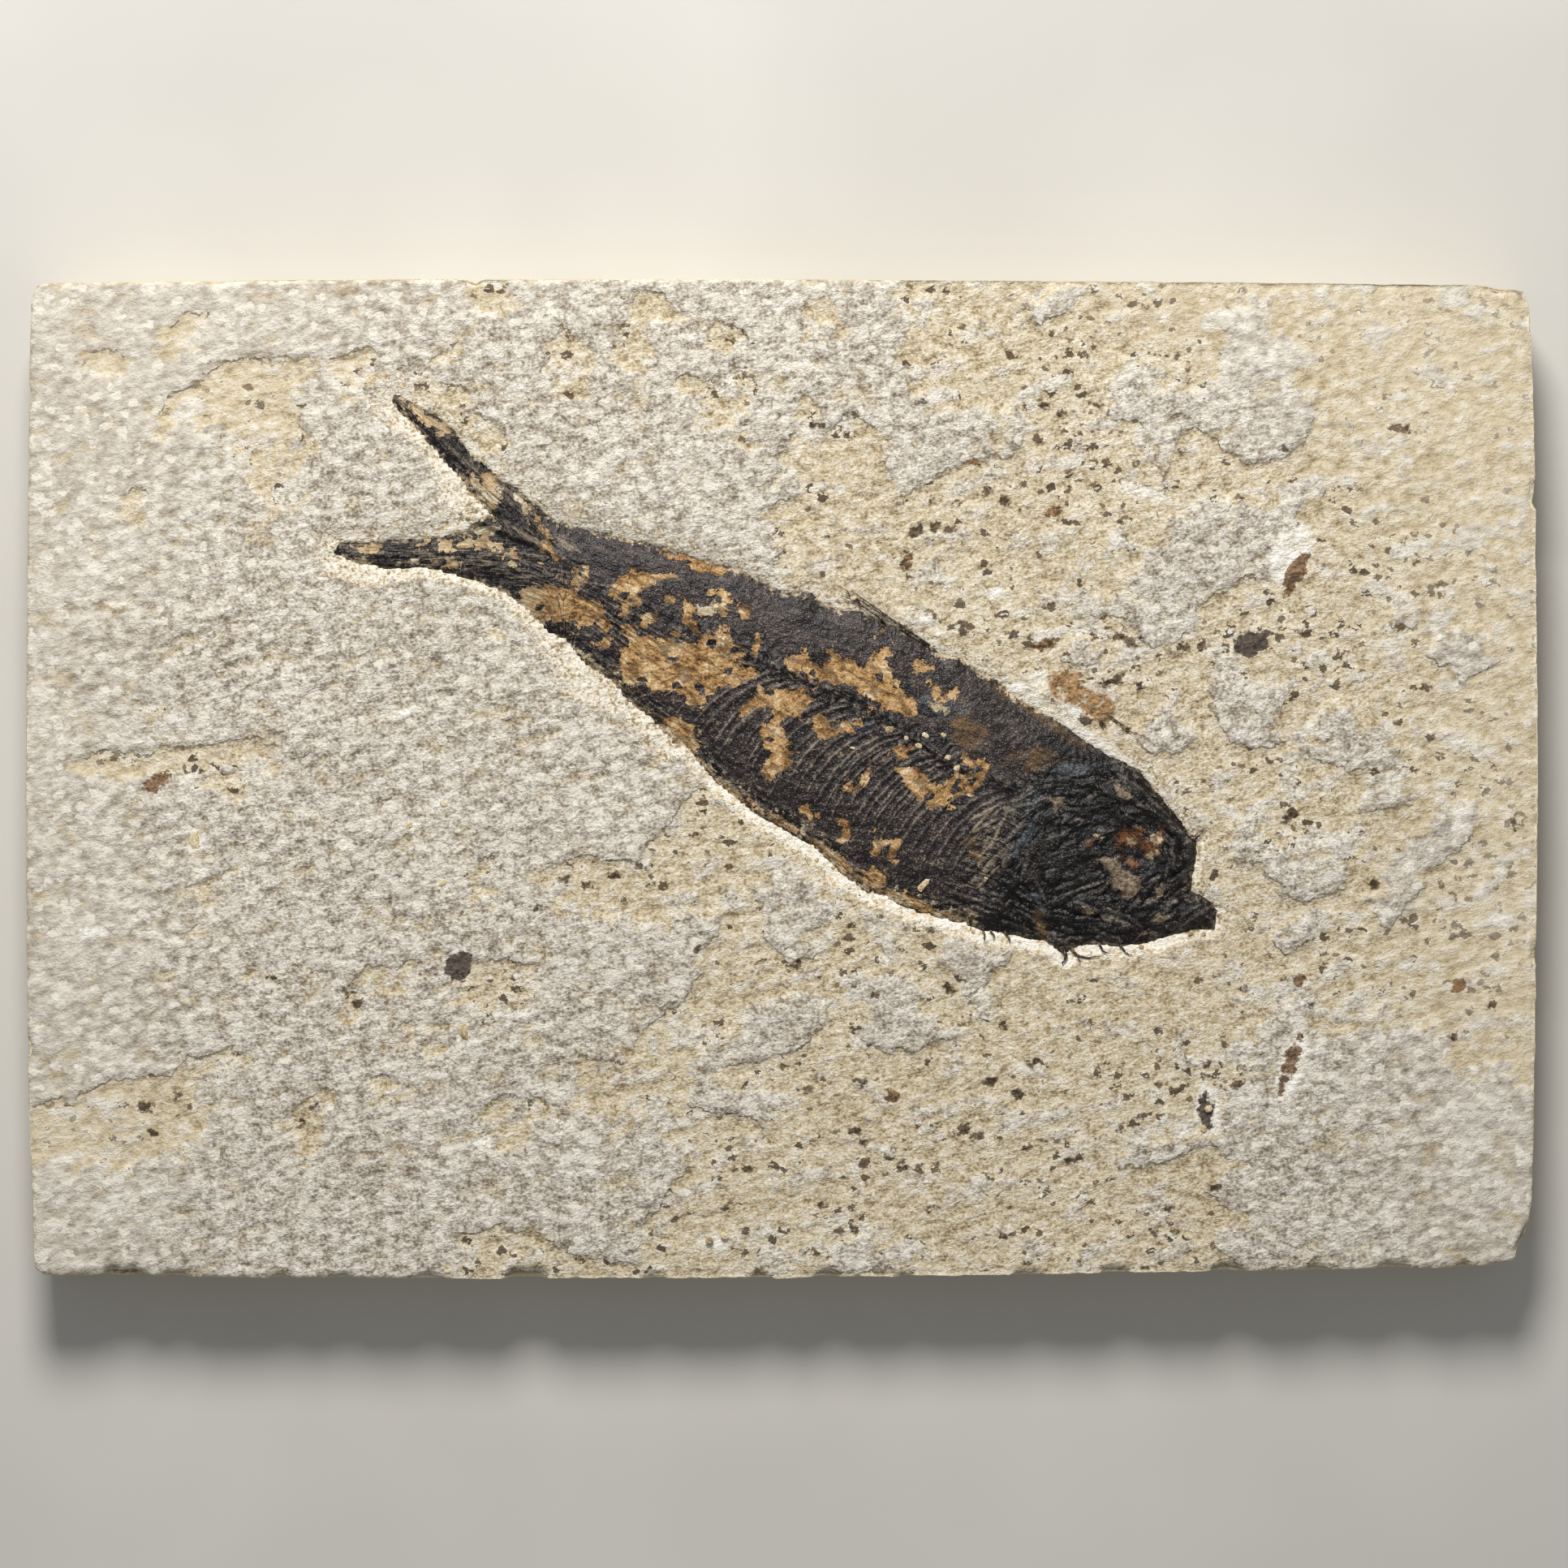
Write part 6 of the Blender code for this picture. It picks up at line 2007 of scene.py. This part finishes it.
        # Ledges: a dark line on the side away from the light, a pale one toward it
        partly = self.step(streak, 0.41, 0.53, 0.4, 1.0)
        shade = self.times(self.band(lamina, -0.05, 0.17), self.step(facing, 0.1, 0.7, 0.0, 0.78), partly)
        bright = self.times(self.band(lamina, 0.0, 0.34), self.step(facing, -0.05, -0.7, 0.0, 0.55), partly)
        self.lay("#55452f", shade)
        self.lay("#f6efdf", bright)
        # The scraped margin: white chalk below the fish, where its wall faces the lamp, and duller, darker
        # crumbs along its back and by the tail, partly painted shade
        fresh = self.field("fresh")
        halo = self.ragged(self.ragged(self.field("halo"), edge, 2.8), grain, 0.5)
        chalky = self.times(self.step(halo, 1.16, 0.86, 0.0, 0.94), self.between(fresh, 0.85, 1.0))
        crumb_level = self.total((edge, 0.6), (grain, 0.4))
        chalk = self.ramp(crumb_level, (0.32, "#d0b58a"), (0.40, "#e8d7b8"), (0.46, "#f4ead7"),
                          (0.54, "#fffaf0"))
        dull_and_shaded = self.ramp(crumb_level, (0.38, "#a18a68"), (0.43, "#d2c3a5"), (0.49, "#e9dec8"),
                         (0.56, "#f7f1e3"))
        self.lay(self.blend(dull_and_shaded, chalk, fresh), chalky)
        # A dark brown line along the margin's outer edge, where the face drops into the hollow: painted shade
        self.lay("#7b6140", self.times(self.band(halo, 1.12, 0.09, 0.6), partly))
        # Each mark: its field, its light and dark colours, half the width of its blurred edge, its strength
        marks = (
            ("stain", "#b58c58", "#6f5135", 0.25, 0.92), ("chalk", "#fffdf6", "#ece2cd", 0.3, 0.92),
            ("brown", "#9b764e", "#4b3523", 0.12, 0.93), ("speck", "#6f5a43", "#33271c", 0.14, 0.92),
            ("coal", "#322a27", "#6a5e54", 0.12, 0.97),
        )
        for name, light, dark, blur, strength in marks:
            mask = self.step(self.ragged(self.field(name), edge, 1.5), blur, -blur)
            if name == "stain":
                mask = self.times(mask, self.step(edge, 0.40, 0.47, 0.3, 1.0))
            self.lay(self.ramp(stuff, (0.43, dark), (0.57, light)), self.maths("MULTIPLY", mask, strength))
        dust = self.ramp(stuff, (0.42, "#b7a98a"), (0.56, "#f0e6cf"))
        self.lay(dust, self.step(self.field("worn"), 0.1, 0.8, 0.0, 0.8))
        relief = self.total((streak, 0.20), (grain, 0.08), (edge, 0.11), (terrace, 0.045), (leaf, 0.20))
        self.relief(self.times(relief, self.between(calm, 1.0, 0.6)))
        self.wear(0.9, 0.25)
        return self.material


class SawnLimestone(Finish):
    """The same limestone where a saw has cut across its bedding.

    Laminae 0.3 to 1.5 mm thick show as cream, honey and brown bands, dusty in places. The blade leaves
    fine upright scores.
    """

    def make(self) -> bpy.types.Material:
        """Build the material.

        Returns:
            The material.
        """
        self.start("sawn_laminated_limestone")
        bands = self.noise((26.0, 26.0, 0.75), 3.0, 0.62, flat=False)
        grain = self.noise((0.4, 0.4, 0.3), 2.0, 0.6, flat=False)
        patch = self.noise((5.0, 5.0, 2.0), 3.0, 0.6, flat=False)
        scores = self.noise((0.35, 0.35, 9.0), 1.0, flat=False)
        level = self.total((bands, 0.62), (grain, 0.22), (patch, 0.16))
        self.colour = self.ramp(level, (0.38, "#8f7b58"), (0.43, "#bfae88"), (0.48, "#d7c9a6"),
                                (0.52, "#c9bc9c"), (0.56, "#e2d7ba"), (0.62, "#b7a88a"), (0.68, "#e8dec6"))
        dusty = self.step(self.total((patch, 0.6), (grain, 0.4)), 0.50, 0.60, 0.0, 0.6)
        self.lay("#ece3cf", dusty)
        self.relief(self.total((bands, 0.30), (grain, 0.10), (scores, 0.10), (patch, 0.10)))
        self.wear(0.9, 0.25)
        return self.material


class FossilFinish(Finish):
    """Carbonised bone and skin, pressed flat by the rock and laid bare with a needle.

    The film is plum-black with a satin sheen and splintered along the bones, with a thin grey line where
    each rib's edge catches the light. Where it has flaked off in angular chips, ochre rock shows, matt
    and speckled.
    """

    def make(self) -> bpy.types.Material:
        """Build the material.

        Returns:
            The material.
        """
        self.start("carbonised_bone_film")
        fibres = self.node("ShaderNodeAttribute", {"attribute_name": "fibres"}).outputs["Vector"]
        head, ribbed, sheen, rim = (self.field(name) for name in ("head", "ribbed", "sheen", "rim"))
        # Noises and cells, with the distance between hills or cells in millimetres
        edge = self.noise((0.62, 0.55, 1.0), 3.0, 0.68)
        fine = self.noise((0.20, 0.18, 1.0), 1.0)
        blotch = self.noise((2.4, 1.8, 1.0), 3.0, 0.6)
        strand = self.noise((3.6, 0.34, 1.0), 2.0, 0.6, place=fibres)
        splinter, own = self.cells((2.6, 0.60, 1.0), fibres)
        _, chip = self.cells((0.85, 0.7, 1.0))
        # The black film: plum-black; along the back its satin sheen is painted in as greyer blotches;
        # blue-black on the skull, with some splinters painted blue-grey for their sheen; darkest on the tail
        unribbed = self.maths("SUBTRACT", 1.0, ribbed)
        dots = self.total((fine, 0.6), (edge, 0.4))
        facets = self.times(unribbed, 0.10)
        combed = self.times(unribbed, self.between(sheen, 1.0, 0.15), self.between(head, 1.0, 0.25))
        level = self.ragged(self.ragged(0.5, own.outputs[0], facets), fine, 0.22)
        level = self.ragged(level, edge, self.between(sheen, 0.42, 0.24))
        level = self.ragged(level, strand, self.between(combed, 0.08, 0.50))
        level = self.ragged(self.ragged(level, blotch, 0.25), self.field("tone"), 0.36)
        film = self.ramp(level, (0.38, "#0c0a0a"), (0.46, "#1f1918"), (0.52, "#2f2726"), (0.58, "#463c37"),
                         (0.66, "#84755f"))
        back = self.ramp(level, (0.36, "#121010"), (0.45, "#221c1b"), (0.52, "#342b29"), (0.60, "#4c423d"),
                         (0.68, "#7d7062"))
        self.colour = self.blend(film, back, self.times(sheen, self.step(blotch, 0.36, 0.56, 0.3, 1.0)))
        skull = self.ramp(level, (0.40, "#040303"), (0.49, "#0a0909"), (0.56, "#151315"), (0.60, "#2a1d15"),
                          (0.64, "#202226"), (0.70, "#393633"), (0.80, "#85786a"))
        self.lay(skull, head)
        tail = self.field("tail")
        self.lay("#0b0909", self.times(tail, self.step(level, 0.42, 0.64, 0.75, 0.35)))
        glint = self.times(self.step(dots, 0.62, 0.655, 0.0, 0.6), self.between(head, 1.0, 0.6))
        self.lay(self.ramp(blotch, (0.42, "#8f8378"), (0.56, "#a99a84")), glint)
        crumbled = self.times(self.field("spine"), self.step(edge, 0.40, 0.54, 0.9, 0.5))
        self.lay(self.ramp(level, (0.44, "#070606"), (0.60, "#2c2523"), (0.68, "#7d7062")), crumbled)
        # Patches of other stuff over the film: field, dark and light colours, half its blur, its strength
        ragged_by = self.maths("SUBTRACT", chip.outputs[0], 0.5)
        # Among the covers, bone paints the satin sheen of black bone in blue-grey, and one pale patch is a
        # painted glare
        covers = (
            ("umber", "#2f2117", "#86673f", 0.25, 0.8), ("bone", "#191b1e", "#5f656b", 0.1, 0.9),
            ("rust", "#22120a", "#b0743f", 0.25, 0.85), ("pale", "#a98e63", "#efe2c4", 0.12, 0.9),
            ("plate", "#584936", "#a5927a", 0.08, 0.95),
        )
        for name, dark, light, blur, strength in covers:
            mask = self.ragged(self.maths("MULTIPLY_ADD", ragged_by, 0.55, self.field(name)), edge, 1.6)
            mask = self.step(mask, blur, -blur, 0.0, strength)
            self.lay(self.ramp(level, (0.42, dark), (0.62, light)), mask)
        # Angular chips where the film is gone and ochre rock shows, with scraps left on it
        ochre_gap = self.ragged(self.maths("MULTIPLY_ADD", ragged_by, 0.45, self.field("ochre")), edge, 1.2)
        bare = self.step(ochre_gap, 0.04, -0.04)
        near = self.step(ochre_gap, 1.4, 0.2)
        scrap = self.maths("GREATER_THAN", self.maths("MULTIPLY_ADD", near, 0.12, chip.outputs[1]), 1.04)
        kept = self.maths("GREATER_THAN", chip.outputs[2], 0.07)
        bare = self.maths("MAXIMUM", self.times(bare, kept), self.times(scrap, self.step(edge, 0.42, 0.50)))
        ochre_level = self.total((edge, 0.36), (fine, 0.24), (blotch, 0.40))
        ochre = self.ramp(ochre_level, (0.38, "#5a3f22"), (0.44, "#9c7547"), (0.50, "#bb935f"),
                          (0.56, "#cfae7e"), (0.64, "#ead8b6"))
        cracks = self.step(splinter, 0.50, 0.62, 0.0, 0.55)
        ochre = self.blend(ochre, "#4a3018", cracks)
        paler = self.times(tail, self.step(chip.outputs[1], 0.1, 0.9, 0.15, 0.70))
        ochre = self.blend(ochre, "#dac6a2", paler)
        # A dark line along the film's edge round each bare chip: the painted shadow of that edge
        self.lay("#0c0909", self.band(ochre_gap, 0.10, 0.10, 0.65))
        self.lay(ochre, bare)
        # The rim, where crushed rock clings to the film
        rim_gap = self.ragged(self.maths("MULTIPLY_ADD", ragged_by, 0.4, rim), edge, 2.0)
        border = self.step(rim_gap, -0.45, -0.15)
        border = self.times(border, self.step(blotch, 0.43, 0.54, 0.15, 0.85),
                            self.between(head, 1.0, 0.25))
        self.lay(self.ramp(ochre_level, (0.40, "#5f4a30"), (0.50, "#a68a62"), (0.60, "#e2d3b4")), border)
        # Gaps between splinters, dark as painted shade along their flanks, their lit edges as painted
        # highlights, hair-thin glints and seams
        gaps = self.times(self.field("gaps"), self.between(bare, 0.85, 0.65))
        self.lay("#080606", self.times(gaps, self.step(edge, 0.38, 0.54, 0.6, 1.0)))
        lit = self.times(self.field("lit"), self.step(self.ragged(blotch, edge, 0.8), 0.40, 0.56, 0.25, 1.0))
        self.lay("#a3978a", self.times(lit, self.between(bare, 0.66, 0.22)))
        hair = self.times(self.band(strand, 0.5, 0.028), self.step(edge, 0.46, 0.56), combed)
        self.lay("#877d76", self.times(hair, 0.40))
        seam = self.times(self.band(strand, 0.44, 0.030, 0.8), combed)
        self.lay("#080707", seam)
        tilted, combed_strand = self.times(splinter, own.outputs[1], combed), self.times(strand, combed)
        self.relief(self.total((tilted, -0.20), (combed_strand, 0.16), (edge, 0.15), (fine, 0.045),
                               (blotch, 0.12)))
        rough = self.between(self.maths("MAXIMUM", bare, border), 0.38, 0.85)
        self.wear(self.ragged(rough, fine, 0.3), 0.36)
        return self.material


class ChalkFinish(Finish):
    """Crushed limestone: dry, matt and almost white, because its broken grains scatter the light."""

    def make(self) -> bpy.types.Material:
        """Build the material.

        Returns:
            The material.
        """
        self.start("crushed_limestone_crumb")
        grain = self.noise((0.16, 0.16, 0.16), 2.0, flat=False)
        level = self.total((grain, 0.5), (self.noise((2.5, 2.5, 2.5), 2.0, flat=False), 0.5))
        self.colour = self.ramp(level, (0.38, "#8f774f"), (0.50, "#d8c49c"), (0.62, "#f0e4c8"))
        self.relief(self.total((grain, 0.12)))
        self.wear(0.92, 0.25)
        return self.material


class SpineFinish(Finish):
    """Carbonised fin spines: black-brown splinters with a low satin gloss and limestone dust."""

    def make(self) -> bpy.types.Material:
        """Build the material.

        Returns:
            The material.
        """
        self.start("carbonised_fin_spine")
        grain = self.noise((0.3, 0.3, 0.3), 3.0, 0.6, flat=False)
        self.colour = self.ramp(grain, (0.38, "#171312"), (0.52, "#3a302a"), (0.64, "#9b8a70"))
        self.relief(self.total((grain, 0.06)))
        self.wear(0.5, 0.45)
        return self.material


class FloorFinish(Finish):
    """Matt pale card, faintly uneven, which throws a soft light up at the sawn sides."""

    def make(self) -> bpy.types.Material:
        """Build the material.

        Returns:
            The material.
        """
        self.start("pale_matt_card")
        self.colour = self.ramp(self.noise((60.0, 60.0, 60.0), 3.0), (0.35, "#cfccc6"), (0.65, "#d6d3cd"))
        self.wear(0.95, 0.2)
        return self.material


@dataclass(frozen=True)
class DisplaySetting:
    """Floor, light and camera, in millimetres and watts."""

    floor_size: float = 4000.0
    floor_drop: float = 0.02
    camera_middle: Pair = (0.2, -0.5)
    view_width: float = 157.7
    lens: float = 100.0
    sensor: float = 36.0
    key_place: Triple = (-40.0, 300.0, 310.0)
    key_size: float = 150.0
    key_power: float = 1.95
    key_colour: Colour = (1.0, 0.985, 0.955, 1.0)
    fill_strength: float = 0.26
    fill_colour: Colour = (0.97, 0.985, 1.0, 1.0)

    def lay_floor(self) -> Thing:
        """Lay the floor that the slab rests on.

        Returns:
            The floor's object.
        """
        half = self.floor_size / 2
        corners = np.array([(-half, -half, -self.floor_drop), (half, -half, -self.floor_drop),
                            (half, half, -self.floor_drop), (-half, half, -self.floor_drop)])
        floor = mesh_from("floor", corners, [(0, 1, 2, 3)], smooth=False)
        floor.data.materials.append(FloorFinish().make())
        return floor

    def light(self) -> None:
        """Hang one soft lamp over the fish's back and fill the shadows evenly."""
        lamp = bpy.data.lights.new("soft_lamp", "AREA")
        lamp.shape = "DISK"
        lamp.size = self.key_size * MM
        lamp.energy = self.key_power
        lamp.color = self.key_colour[:3]
        thing = bpy.data.objects.new("soft_lamp", lamp)
        place = Vector(self.key_place) * MM
        aim = (Vector((0.0, 0.0, FACE_HEIGHT)) * MM - place).to_track_quat("-Z", "Y")
        thing.matrix_world = Matrix.Translation(place) @ aim.to_matrix().to_4x4()
        bpy.context.scene.collection.objects.link(thing)
        world = bpy.data.worlds.new("studio")
        world.use_nodes = True
        background = world.node_tree.nodes["Background"]
        background.inputs["Color"].default_value = self.fill_colour
        background.inputs["Strength"].default_value = self.fill_strength
        bpy.context.scene.world = world
        bpy.context.scene.view_settings.view_transform = "Standard"

    def place_camera(self) -> None:
        """Look straight down on the slab, so that it fills the frame's width."""
        camera = bpy.data.cameras.new("camera")
        camera.lens = self.lens
        camera.sensor_width = self.sensor
        camera.clip_start = 0.01
        thing = bpy.data.objects.new("camera", camera)
        height = FACE_HEIGHT + self.view_width * self.lens / self.sensor
        thing.location = Vector((*self.camera_middle, height)) * MM
        bpy.context.scene.collection.objects.link(thing)
        bpy.context.scene.camera = thing


def settle(piece: Thing, finishes: tuple[Finish, ...], replaced: str | None = None) -> None:
    """Give a piece its finishes and its body, and report it.

    Args:
        piece: the piece.
        finishes: what it is made of, in the order that its faces number them.
        replaced: the CAD node that it stands for, if any.
    """
    for finish in finishes:
        piece.data.materials.append(finish.make())
    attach(piece, BODY)
    if replaced:
        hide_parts(replaced)
    triangles = sum(len(face.vertices) - 2 for face in piece.data.polygons)
    LOG.info("%s: %d points, %d triangles", piece.name, len(piece.data.vertices), triangles)


def main() -> None:
    """Build the slab and its fish, and set them out under the light and the camera."""
    logging.basicConfig(level=logging.INFO, format="%(name)s: %(message)s")
    setting = DisplaySetting()
    setting.place_camera()
    setting.light()
    setting.lay_floor()
    shape = FishShape()
    stone = (SplitLimestone(), SawnLimestone())
    settle(LimestoneSlab().build(shape), stone, "limestone_slab")
    settle(FossilFish(shape).build(), (FossilFinish(),), "fossil_fish")
    settle(LooseCrumbs(shape).build(), (ChalkFinish(),))
    settle(FinSpines().build(), (SpineFinish(),))


if __name__ == "__main__":
    main()
